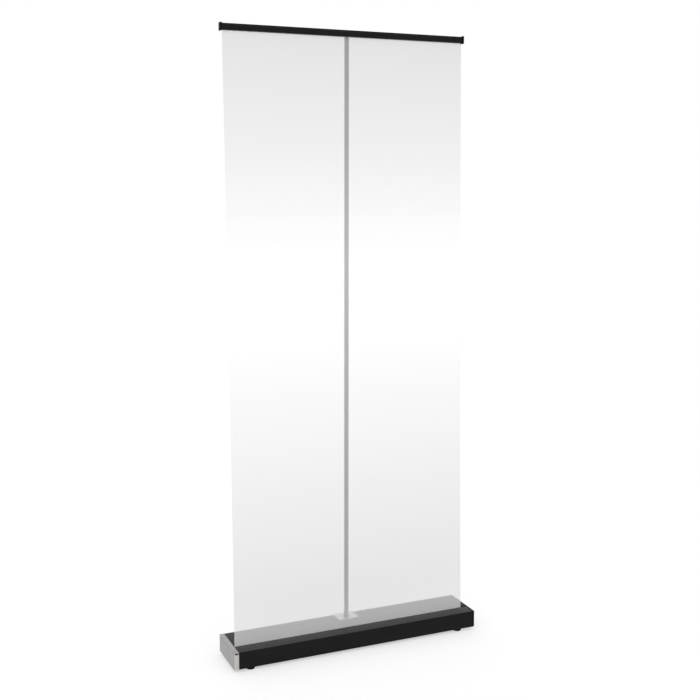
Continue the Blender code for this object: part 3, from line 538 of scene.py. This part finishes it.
def box_mesh(low, high):
    """A plain box between two corners, whose edges are worked next."""
    bm = bmesh.new()
    made = bmesh.ops.create_cube(bm, size=1.0)
    bmesh.ops.scale(bm, vec=Vector(high) - Vector(low), verts=made["verts"])
    bmesh.ops.translate(bm, vec=(Vector(low) + Vector(high)) / 2, verts=made["verts"])
    return bm


def edges_along(bm, axis):
    """The edges of a box that run along an axis, X or Z."""
    return [e for e in bm.edges if abs(e.verts[0].co[axis] - e.verts[1].co[axis]) > 1 * MM]


def edges_at(bm, axis, place):
    """The edges that lie at a place on an axis."""
    return [e for e in bm.edges if all(abs(v.co[axis] - place) < 10 * TINY for v in e.verts)]


def round_edges(bm, edges, radius, segments):
    how = {"offset": radius, "segments": segments, "affect": "EDGES", "profile": 0.5}
    bmesh.ops.bevel(bm, geom=edges, **how)


def block(name, low, high, radius, segments):
    """A box with rounded edges between two corners."""
    bm = box_mesh(low, high)
    round_edges(bm, list(bm.edges), radius, segments)
    return mesh_piece(name, bm)


def settle(piece):
    """Makes the piece's modifiers part of its mesh."""
    bpy.context.view_layer.update()
    shaped = piece.evaluated_get(bpy.context.evaluated_depsgraph_get())
    mesh = bpy.data.meshes.new_from_object(shaped)
    piece.modifiers.clear()
    piece.data = mesh


def combine(piece, tools, operation):
    """Cuts tools from the piece, or joins them to it, and keeps only the result."""
    for tool in tools:
        change = piece.modifiers.new("work", "BOOLEAN")
        change.operation = operation
        change.solver = "EXACT"
        change.object = tool
        settle(piece)
        bpy.data.objects.remove(tool, do_unlink=True)


def cut(piece, *tools):
    combine(piece, tools, "DIFFERENCE")


def join(piece, *tools):
    combine(piece, tools, "UNION")


def ease(piece, width, segments):
    """Merges flat facets, rounds the sharp edges a little and shades the rest smooth."""
    weld = piece.modifiers.new("weld", "WELD")
    weld.merge_threshold = TINY
    flatten = piece.modifiers.new("flatten", "DECIMATE")
    flatten.decimate_type = "DISSOLVE"
    flatten.angle_limit = math.radians(0.5)
    bevel = piece.modifiers.new("ease", "BEVEL")
    bevel.width = width
    bevel.segments = segments
    bevel.limit_method = "ANGLE"
    bevel.angle_limit = SHARP
    bevel.harden_normals = False
    for polygon in piece.data.polygons:
        polygon.use_smooth = True
    normals = piece.modifiers.new("normals", "WEIGHTED_NORMAL")
    normals.keep_sharp = True


def smooth(piece, angle):
    """Smooth shading, with the edges sharper than an angle in degrees kept crisp."""
    piece.data.shade_smooth()
    piece.data.set_sharp_from_angle(angle=math.radians(angle))


def coat(piece, finish):
    """Gives a piece one finish all over."""
    piece.data.materials.clear()
    piece.data.materials.append(finish)


def dress(piece, slot, body, node):
    """Gives a piece its finish and its body, and hides the node that it stands for."""
    coat(piece, FINISHES[slot])
    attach(piece, body)
    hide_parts(node)


# Cassette ---------------------------------------------------------------------------------------


def make_shell():
    """The extruded body: rounded corners, film slot, screw ports and drilled holes."""
    low, high = SHELL_LOW, SHELL_HIGH
    wall, corner, inside, fine = 1.8 * MM, 2 * MM, 0.8 * MM, 0.3 * MM
    port, port_bore, cup_hole, foot_hole = 5 * MM, 1.9 * MM, 11.3 * MM, 5.3 * MM
    past = 5 * MM
    slot_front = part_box("slot_lip_front")[1].y - LIP_WALL - fine
    slot_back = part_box("slot_lip_back")[0].y + LIP_WALL + fine
    floor_in, roof_in, y_in = low.z + wall, high.z - wall, high.y - wall
    outline = [
        (slot_front, high.z, fine), (low.y, high.z, corner), (low.y, low.z, corner),
        (high.y, low.z, corner), (high.y, high.z, corner), (slot_back, high.z, fine),
        (slot_back, roof_in, 0), (y_in, roof_in, inside), (y_in, floor_in, inside),
    ]
    ports = sorted(tuple(middle_of(f"screw_left_{row}").yz) for row in ROWS)
    for y, z in reversed(ports):
        front, back, top = y - port, y + port, z + port
        outline += [(back, floor_in, 0), (back, top, 0), (front, top, 0), (front, floor_in, 0)]
    outline += [(-y_in, floor_in, inside), (-y_in, roof_in, inside), (slot_front, roof_in, 0)]
    shell = bar("cassette_shell", rounded(outline), low.x, high.x)
    for y, z in ports:
        bore = rod_profile(port_bore, low.x - past, high.x + past)
        cut(shell, lathe("port_bore", bore, (0, y, z), 16, "X"))
    drilled = [("cup_hole", cup_hole, POLE_CENTRE, high.z, ROUND)]
    drilled += [("foot_hole", foot_hole, middle_of(f"foot_insert_{c}"), low.z, 32) for c in CORNERS]
    drilled += [("plate_hole", SCREW_HOLE, middle_of(f"socket_screw_{s}"), high.z, 24) for s in SIDES]
    for name, radius, middle, level, sides in drilled:
        hole = rod_profile(radius, -past, past)
        cut(shell, lathe(name, hole, (middle.x, middle.y, level), sides))
    smooth(shell, 25)
    dress(shell, "black_anodised", "base", "cassette_body")


def make_right_cap():
    """The moulded end: full round outside edges, two counterbores, spigots and the shaft's boss."""
    low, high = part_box("end_cap_right")
    x_in = SHELL_HIGH.x + 0.3 * MM
    bm = box_mesh((x_in, low.y, low.z), high)
    round_edges(bm, edges_along(bm, X), 2 * MM, 8)
    round_edges(bm, edges_at(bm, X, high.x), 1.9 * MM, 8)
    round_edges(bm, edges_at(bm, X, x_in), 0.4 * MM, 2)
    cap = mesh_piece("right_end_cap", bm)
    axis = middle_of("roller_tube")
    boss, reach, inside = 10 * MM, 8 * MM, x_in + 2 * MM
    near, far = (x_in - boss, axis.y - boss, axis.z - boss), (inside, axis.y + boss, axis.z + boss)
    join(cap, block("boss", near, far, 0.6 * MM, 2))
    spigot_in, spigot_out = 5.8 * MM, 2.2 * MM
    for y0, y1 in ((high.y - spigot_in, high.y - spigot_out), (low.y + spigot_out, low.y + spigot_in)):
        near, far = (x_in - reach, y0, low.z + reach), (inside, y1, high.z - reach)
        join(cap, block("spigot", near, far, 0.5 * MM, 2))
    flat = 3.8 * MM
    near = (x_in - 2 * boss, axis.y - flat, axis.z - flat)
    far = (x_in - 1 * MM, axis.y + flat, axis.z + flat)
    cut(cap, mesh_piece("shaft_hole", box_mesh(near, far)))
    seat, mouth, seat_floor, past = 4.2 * MM, 4.8 * MM, 5 * MM, 20 * MM
    sunk = [(0, seat_floor), (seat, seat_floor), (seat, 7.6 * MM)]
    sunk += [(mouth, 8.6 * MM), (mouth, past), (0, past)]
    for row in ROWS:
        screw = middle_of(f"screw_right_{row}")
        centre = (x_in, screw.y, screw.z)
        cut(cap, lathe("cap_hole", rod_profile(SCREW_HOLE, -4 * MM, past), centre, 32, "X"))
        cut(cap, lathe("cap_seat", sunk, centre, 48, "X"))
    smooth(cap, 30)
    dress(cap, "black_plastic", "base", "end_cap_right")


def make_left_end():
    """The fixed frame and the door keep their own solids, with eased edges and silver plating."""
    for node, finish in (("end_frame_left", FRAME_SILVER), ("end_door", FINISHES["satin_silver"])):
        coat(frame["nodes"][node], finish)
        ease(frame["nodes"][node], 0.45 * MM, 3)


def cross_recess(centre, along, depth):
    """The two crossed wedges of a cross-head recess, as cutters."""
    arms = []
    for turn in (0, math.pi / 2):
        half = Vector((RECESS_REACH, 0.45 * MM, depth))
        arm = block("recess", -half, half, 0.1 * MM, 1)
        spin = Matrix.Rotation(turn + math.pi / 4, 4, "Z")
        if along == "X":
            spin = Matrix.Rotation(math.pi / 2, 4, "Y") @ spin
        arm.data.transform(Matrix.Translation(centre) @ spin)
        arms.append(arm)
    return arms


def pan_screw(name, node, inward):
    """A pan-head screw along X: rounded head, cross recess and a threaded shank."""
    low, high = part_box(node)
    middle = (low + high) / 2
    seat_x = low.x + HEAD_HEIGHT if inward > 0 else high.x - HEAD_HEIGHT
    length = high.x - low.x - HEAD_HEIGHT
    centre = Vector((seat_x, middle.y, middle.z))
    head, rim, crown = 3.4 * MM, 0.7 * MM, 1.5 * MM
    turns = [math.radians(a) for a in range(90, -1, -15)]
    profile = [(head * math.cos(t), -inward * (rim + crown * math.sin(t))) for t in turns]
    profile += [(head, 0)]
    profile += thread(SHANK, SHANK_ROOT, 0.0, length, SHANK_PITCH, inward)
    screw = lathe(name, profile, centre, 40, "X")
    tip = centre - Vector((inward * HEAD_HEIGHT, 0, 0))
    cut(screw, *cross_recess(tip, "X", 1.0 * MM))
    smooth(screw, 35)
    dress(screw, "zinc_steel", "base", node)


def thread(crest, root, start, end, pitch, sign=1):
    """The side of a threaded shank: rings of alternate crests and roots, then its blunt tip."""
    points = [(crest, sign * start)]
    for i in range(int((end - start) / pitch)):
        for radius, share in ((crest, 0.15), (root, 0.5), (crest, 0.85)):
            points.append((radius, sign * (start + pitch * (i + share))))
    points += [(crest * 0.7, sign * end), (0, sign * end)]
    return points


def make_screws():
    """The pan-head screws of both ends, and the countersunk ones of the pole's plate."""
    for row in ROWS:
        pan_screw(f"left_end_screw_{row}", f"screw_left_{row}", 1)
        pan_screw(f"right_end_screw_{row}", f"screw_right_{row}", -1)
    for side in SIDES:
        low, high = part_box(f"socket_screw_{side}")
        centre = Vector(((low.x + high.x) / 2, (low.y + high.y) / 2, 0))
        top, neck = high.z, high.z - HEAD_HEIGHT
        profile = [(0, top), (2.5 * MM, top), (3.1 * MM, top - 0.15 * MM), (SHANK, neck)]
        shank = thread(SHANK, SHANK_ROOT, 0.1 * MM, neck - low.z, SHANK_PITCH)
        profile += [(radius, neck - depth) for radius, depth in shank]
        screw = lathe(f"plate_screw_{side}", profile, centre, 40)
        cut(screw, *cross_recess(centre + Vector((0, 0, top)), "Z", 1.2 * MM))
        smooth(screw, 35)
        dress(screw, "zinc_steel", "base", f"socket_screw_{side}")


def make_socket():
    """The brushed plate with its cup, and the bush that the pole slides through."""
    low, high = PLATE_LOW, PLATE_HIGH
    bm = box_mesh((low.x, low.y, ROOF_Z + 0.15 * MM), high)
    round_edges(bm, edges_along(bm, Z), 1.2 * MM, 6)
    round_edges(bm, edges_at(bm, Z, high.z), 0.5 * MM, 4)
    plate = mesh_piece("pole_plate", bm)
    bore, cup, past = 9 * MM, 11 * MM, 5 * MM
    cup_floor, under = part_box("pole_foot_plug")[0].z - 0.3 * MM, high.z - 1 * MM
    outside = [(0, low.z), (cup - 1 * MM, low.z), (cup, low.z + 1 * MM), (cup, under), (0, under)]
    join(plate, lathe("cup", outside, POLE_CENTRE))
    mouth, above = bore + 0.6 * MM, high.z + past
    inside = [
        (0, cup_floor), (bore, cup_floor), (bore, high.z - 0.5 * MM), (mouth, high.z + 0.1 * MM),
        (mouth, above), (0, above),
    ]
    cut(plate, lathe("cup_bore", inside, POLE_CENTRE))
    hole, rim, deep, proud = 2 * MM, 3.9 * MM, -9 * MM, 3 * MM
    sink = [(0, deep), (hole, deep), (hole, -2.6 * MM), (rim, 0.4 * MM), (rim, proud), (0, proud)]
    for side in SIDES:
        screw = middle_of(f"socket_screw_{side}")
        cut(plate, lathe("sink", sink, (screw.x, screw.y, high.z), 48))
    smooth(plate, 30)
    dress(plate, "plate_silver", "base", "pole_socket")

    low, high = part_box("pole_bush")
    inner, skirt, flange = POLE_RADIUS + 0.3 * MM, bore - 0.3 * MM, (high.x - low.x) / 2
    seat, outer_round, inner_round = PLATE_HIGH.z + 0.3 * MM, 1.0 * MM, 0.7 * MM
    profile = [(inner, low.z), (skirt, low.z), (skirt, seat), (flange, seat)]
    profile += arc((flange - outer_round, high.z - outer_round), outer_round, 0, 90, 5)
    profile += arc((inner + inner_round, high.z - inner_round), inner_round, 90, 180, 5)
    bush = lathe("pole_guide_bush", profile, POLE_CENTRE)
    smooth(bush, 30)
    dress(bush, "black_plastic", "base", "pole_bush")


def make_lips():
    """The wiper strips of the slot, each with a rounded lip."""
    for row, side in (("front", 1), ("back", -1)):
        low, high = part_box(f"slot_lip_{row}")
        flange_y, lip_y = (low.y, high.y) if side > 0 else (high.y, low.y)
        edge = lip_y - side * LIP_WALL
        roof_in = ROOF_Z - 2.1 * MM
        outline = [
            (flange_y, low.z, 0.4 * MM), (lip_y, low.z, 0.5 * MM), (lip_y, high.z, 0.75 * MM),
            (edge, high.z, 0.4 * MM), (edge, roof_in, 0), (flange_y, roof_in, 0.3 * MM),
        ]
        strip = bar(f"slot_wiper_{row}", rounded(outline), low.x, high.x)
        smooth(strip, 30)
        dress(strip, "black_rubber", "base", f"slot_lip_{row}")


def make_feet():
    """Each foot: a ribbed rubber pad under a threaded stud in its insert."""
    ribs, per_rib, rib_depth = 40, 6, 0.45 * MM
    hollow, socket, socket_floor = 0.5 * MM, 3.3 * MM, 3 * MM
    foot_round, top_round = 2.2 * MM, 3.2 * MM
    for corner in CORNERS:
        low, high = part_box(f"foot_pad_{corner}")
        centre = Vector(((low.x + high.x) / 2, (low.y + high.y) / 2, 0))
        r, top = (high.x - low.x) / 2, high.z
        profile = [(0, hollow), (r - 6 * MM, hollow), (r - 5.4 * MM, 0)]
        profile += arc((r - foot_round, foot_round), foot_round, -90, 0, 6)
        profile += arc((r - top_round, top - top_round), top_round, 0, 68, 6)
        profile += [(r - 6 * MM, top), (socket, top), (socket, socket_floor), (0, socket_floor)]
        pad = lathe(f"foot_{corner}", profile, centre, ribs * per_rib)
        for vertex in pad.data.vertices:
            spoke = (vertex.co - centre).to_2d()
            if spoke.length > r - 3 * MM and 1.2 * MM < vertex.co.z < top - 1 * MM:
                wave = 0.5 + 0.5 * math.cos(ribs * math.atan2(spoke.y, spoke.x))
                spoke *= 1 - rib_depth * wave ** 2 / spoke.length
                vertex.co.x, vertex.co.y = centre.x + spoke.x, centre.y + spoke.y
        smooth(pad, 40)
        dress(pad, "black_rubber", f"foot_{corner}", f"foot_pad_{corner}")
        low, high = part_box(f"foot_stud_{corner}")
        shank = thread(3 * MM, 2.65 * MM, 0.0, high.z - low.z, 1.0 * MM)
        profile = [(0, low.z)] + [(radius, low.z + rise) for radius, rise in shank]
        stud = lathe(f"levelling_stud_{corner}", profile, centre, 32)
        smooth(stud, 30)
        dress(stud, "zinc_steel", f"foot_{corner}", f"foot_stud_{corner}")


# Pole -------------------------------------------------------------------------------------------


def make_pole():
    """Three rolled-end tubes and the ribbed plug in the lowest one's foot."""
    r, round_end = POLE_RADIUS, 0.6 * MM
    bore = r - 1 * MM
    for part, body in (("lower", "pole_low"), ("middle", "pole_mid"), ("upper", "pole_top")):
        low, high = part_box(f"pole_{part}")
        profile = [(bore, low.z)]
        profile += arc((r - round_end, low.z + round_end), round_end, -90, 0, 4)
        profile += arc((r - round_end, high.z - round_end), round_end, 0, 90, 4)
        profile += [(bore, high.z)]
        section = lathe(f"pole_section_{part}", profile, POLE_CENTRE)
        smooth(section, 40)
        dress(section, "black_tube", body, f"pole_{part}")
    low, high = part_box("pole_foot_plug")
    collar, neck = low.z + 4 * MM, PLUG_RADIUS
    valley, first_rib, rib_pitch = neck - 0.5 * MM, 3 * MM, 3.5 * MM
    profile = [(0, low.z), (r - 1 * MM, low.z), (r, low.z + 1 * MM), (r, collar), (neck, collar)]
    for i in range(3):
        rib = collar + first_rib + rib_pitch * i
        profile += [(valley, rib - 1 * MM), (neck, rib), (valley, rib + 1 * MM)]
    profile += [(neck - 1 * MM, high.z), (0, high.z)]
    plug = lathe("pole_end_plug", profile, POLE_CENTRE)
    smooth(plug, 35)
    dress(plug, "black_plastic", "pole_low", "pole_foot_plug")


def make_hook():
    """The moulded head: a plug in the tube, a rounded block and the tongue that enters the rail."""
    low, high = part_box("pole_hook")
    tube_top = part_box("pole_upper")[1].z
    x, y = POLE_CENTRE.x, POLE_CENTRE.y
    neck, plug_top = PLUG_RADIUS, tube_top + 4 * MM
    plug = [(0, low.z), (neck - 1 * MM, low.z), (neck, low.z + 1 * MM)]
    plug += [(neck, plug_top), (0, plug_top)]
    hook = lathe("pole_hook_head", plug, POLE_CENTRE)
    near, far = (x - 9 * MM, y - 8 * MM, tube_top + 2 * MM), (x + 9 * MM, high.y, high.z)
    join(hook, block("head", near, far, 2.2 * MM, 6))
    tongue_z, thin, wide = tube_top + 9.5 * MM, 1.3 * MM, 1 * MM
    near, far = (low.x, low.y, tongue_z - thin), (high.x, y, tongue_z + thin)
    join(hook, block("tongue", near, far, 0.6 * MM, 4))
    for rib_x in (x - 6 * MM, x + 6 * MM):
        near = (rib_x - wide, low.y + 2 * MM, tongue_z - 4 * MM)
        far = (rib_x + wide, y, tongue_z + 3 * MM)
        join(hook, block("rib", near, far, 0.4 * MM, 3))
    smooth(hook, 30)
    dress(hook, "black_plastic", "pole_top", "pole_hook")


# Rail -------------------------------------------------------------------------------------------


def make_rail():
    """The snap rail: its back, the jaw with a gently bowed face, and the end caps."""
    pivot = JOINTS["jaw_open"]["pos_m"][1:]
    z, rear, top = RAIL_LOW.z, RAIL_HIGH.y, RAIL_HIGH.z
    inner, wall, fine, edge = 22 * MM, 1.6 * MM, 0.3 * MM, 0.8 * MM
    channel = inner + 2.2 * MM
    mouth_low, mouth_high, shelf = z + 8.3 * MM, z + 12.3 * MM, z + 13.2 * MM
    seat_top, strip_low, strip_high = z + 14.4 * MM, z + 4 * MM, z + 7 * MM
    strip_seat = inner + 0.9 * MM
    claw_out = top - pivot[1]
    claw_in = claw_out - 1.9 * MM
    to_claw = [(pivot[0], top, 0), (inner, seat_top, 0)]
    outline = rounded([
        (inner, z, fine), (rear, z, edge), (rear, mouth_low, fine), (rear - wall, mouth_low, 0),
        (rear - wall, z + wall, 0), (channel, z + wall, 0), (channel, shelf, 0),
        (rear - wall, shelf, 0), (rear - wall, mouth_high, 0), (rear, mouth_high, fine),
        (rear, top, edge), *to_claw,
    ])
    outline = outline[:-len(to_claw)]
    outline += arc(pivot, claw_out, 90, 112, 5)
    outline += arc(pivot, claw_in, 112, -84, 28)
    outline += arc(pivot, claw_out - fine, -84, -40, 8)
    outline += [(inner, seat_top), (inner, strip_high), (strip_seat, strip_high)]
    outline += [(strip_seat, strip_low), (inner, strip_low)]
    back = bar("rail_rear_half", outline, RAIL_LOW.x, RAIL_HIGH.x)
    smooth(back, 30)
    dress(back, "black_anodised", "rail", "rail_back")
    make_jaw(pivot, claw_in - fine)
    for side, inward in (("left", 1), ("right", -1)):
        low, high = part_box(f"rail_cap_{side}")
        outer_x = low.x if inward > 0 else high.x
        seat_x = RAIL_LOW.x - fine if inward > 0 else RAIL_HIGH.x + fine
        x0, x1 = sorted((outer_x, seat_x))
        cap = block(f"rail_end_cap_{side}", (x0, low.y, low.z), (x1, high.y, high.z), 1.8 * MM, 7)
        x0, x1 = sorted((seat_x - inward * 1 * MM, seat_x + inward * 14 * MM))
        near, far = (x0, channel + fine, z + 2 * MM), (x1, rear - wall - fine, mouth_low - 0.5 * MM)
        join(cap, block("peg", near, far, 0.5 * MM, 3))
        smooth(cap, 30)
        dress(cap, "black_plastic", "rail", f"rail_cap_{side}")


def make_jaw(pivot, bead):
    """The rail's front half: a bowed face that turns on a round bead in the rear half's claw."""
    front, film_side, bottom = JAW_LOW.y, 20.3 * MM, JAW_LOW.z
    flange, thick, shelf, bow = 0.7 * MM, 1.8 * MM, bottom + 1.7 * MM, front + 0.15 * MM
    start = math.degrees(math.asin(flange / bead))
    top = pivot[1] + flange
    jaw = rounded([
        (front + thick, top - 2.2 * MM, 0), (front + thick, shelf, 0.6 * MM),
        (film_side, shelf, 0.4 * MM), (film_side, bottom, 0.4 * MM),
        (front + 2.2 * MM, bottom, 1.2 * MM), (bow, bottom + 2.4 * MM, 2.2 * MM),
        (front, (bottom + top) / 2, 0), (bow, top - 2.4 * MM, 2.2 * MM),
        (front + 2.2 * MM, top, 1.0 * MM),
    ])
    jaw = jaw[1:] + [(pivot[0] - bead * math.cos(math.radians(start)), top)]
    jaw += arc(pivot, bead, 180 - start, start - 180, 30)[1:]
    face = bar("rail_front_jaw", jaw, JAW_LOW.x, JAW_HIGH.x)
    smooth(face, 25)
    dress(face, "black_anodised", "jaw", "rail_jaw")


# Film -------------------------------------------------------------------------------------------


def make_film():
    """The display film: necked in a little at mid height by its pull, its long edges curled back."""
    columns, rows = 34, 72
    low, high = FILM_LOW, FILM_HIGH
    width, rise, middle_x = high.x - low.x, high.z - low.z, (low.x + high.x) / 2
    half_thick = 0.25 * MM
    foot_y, top_y = low.y + half_thick, high.y - half_thick
    neck, curl, curl_width = 2.2 * MM, 0.3 * MM, 26 * MM
    bm = bmesh.new()
    print_map = bm.loops.layers.uv.new("print")
    grid = []
    for row in range(rows + 1):
        t = row / rows
        free = math.sin(math.pi * t)
        line = []
        for column in range(columns + 1):
            across = 0.5 - 0.5 * math.cos(math.pi * column / columns)
            from_edge = min(across, 1 - across) * width
            lift = max(0.0, 1 - from_edge / curl_width)
            x = middle_x + (across - 0.5) * (width - 2 * neck * free)
            y = foot_y + (top_y - foot_y) * t + curl * free * lift ** 2
            line.append((bm.verts.new((x, y, low.z + rise * t)), (across, t)))
        grid.append(line)
    for lower, upper in zip(grid, grid[1:]):
        for k in range(columns):
            corners = (lower[k], lower[k + 1], upper[k + 1], upper[k])
            face = bm.faces.new([vertex for vertex, _ in corners])
            for loop, (_, place) in zip(face.loops, corners):
                loop[print_map].uv = place
    film = sheet_piece("display_film", bm)
    film.data.shade_smooth()
    dress(film, "clear_film", "base", "banner_film")
    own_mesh(film)


# Inside the cassette, and the pieces that keep their own solids ---------------------------------


def finish_internals():
    """Gives every node that still shows its slot's finish and eased, smoothly shaded edges."""
    slots = {part["node"]: part["material_slot"] for part in frame["record"]["subparts"]}
    for name, piece in frame["nodes"].items():
        if piece.hide_render or name in ("end_frame_left", "end_door"):
            continue
        coat(piece, FINISHES[slots[name]])
        ease(piece, 0.2 * MM, 2)


def make_spring():
    """The torsion spring: a close coil of round wire."""
    low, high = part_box("torsion_spring")
    wire, turns, per_turn = 0.8 * MM, 24, 28
    radius = (high.y - low.y) / 2 - wire
    axis = (low + high) / 2
    count = turns * per_turn
    curve = bpy.data.curves.new("roller_spring", "CURVE")
    curve.dimensions = "3D"
    curve.bevel_depth = wire
    curve.bevel_resolution = 3
    curve.use_fill_caps = True
    spline = curve.splines.new("POLY")
    spline.points.add(count)
    for i, point in enumerate(spline.points):
        angle = 2 * math.pi * i / per_turn
        x = low.x + wire + (high.x - low.x - 2 * wire) * i / count
        point.co = (x, axis.y + radius * math.cos(angle), axis.z + radius * math.sin(angle), 1)
    dress(place_object("roller_spring", curve), "zinc_steel", "base", "torsion_spring")


# Studio -----------------------------------------------------------------------------------------


def make_studio():
    """White surroundings, a pale floor and soft lights."""
    scene = bpy.context.scene
    scene.view_settings.view_transform = "Standard"
    scene.view_settings.look = "None"
    world = bpy.data.worlds.new("studio")
    scene.world = world
    world.use_nodes = True
    backdrop = world.node_tree.nodes["Background"]
    backdrop.inputs["Color"].default_value = (1, 1, 1, 1)
    backdrop.inputs["Strength"].default_value = 1.0

    half_width, squares = 40.0, 8
    bm = bmesh.new()
    bmesh.ops.create_grid(bm, x_segments=squares, y_segments=squares, size=half_width)
    floor = mesh_piece("studio_floor", bm)
    floor.data.materials.append(studio_floor())

    overhead = bpy.data.lights.new("overhead", "SUN")
    overhead.energy = 0.5
    overhead.angle = math.radians(80)
    place_object("overhead", overhead).rotation_euler = (math.radians(14), math.radians(-12), 0)
    aim = Vector((0, 0, 0.8))
    for name, place, watts in (("key", (-2.6, -3.4, 3.6), 12), ("back", (0.6, 3.2, 3.2), 8)):
        lamp = bpy.data.lights.new(name, "AREA")
        lamp.shape = "DISK"
        lamp.size = 2.4
        lamp.energy = watts
        light = place_object(name, lamp)
        light.location = place
        light.rotation_euler = (aim - light.location).to_track_quat("-Z", "Y").to_euler()


def make_camera():
    """The display side seen from its left, a little above the middle of the film."""
    heading, tilt, roll = math.radians(23.5185), math.radians(7.2328), math.radians(-0.0649)
    lens = bpy.data.cameras.new("camera")
    lens.sensor_width = 36.0
    lens.lens = 56.208
    lens.shift_y = -0.0471
    camera = place_object("camera", lens)
    camera.location = (-1.4554, -3.3379, 1.6009)
    level = Euler((math.pi / 2 - tilt, 0, -heading)).to_matrix()
    camera.rotation_euler = (level @ Matrix.Rotation(-roll, 3, "Z")).to_euler()
    bpy.context.scene.camera = camera


make_camera()
make_studio()
make_shell()
make_right_cap()
make_left_end()
make_screws()
make_socket()
make_lips()
make_feet()
make_pole()
make_hook()
make_rail()
make_film()
make_spring()
finish_internals()
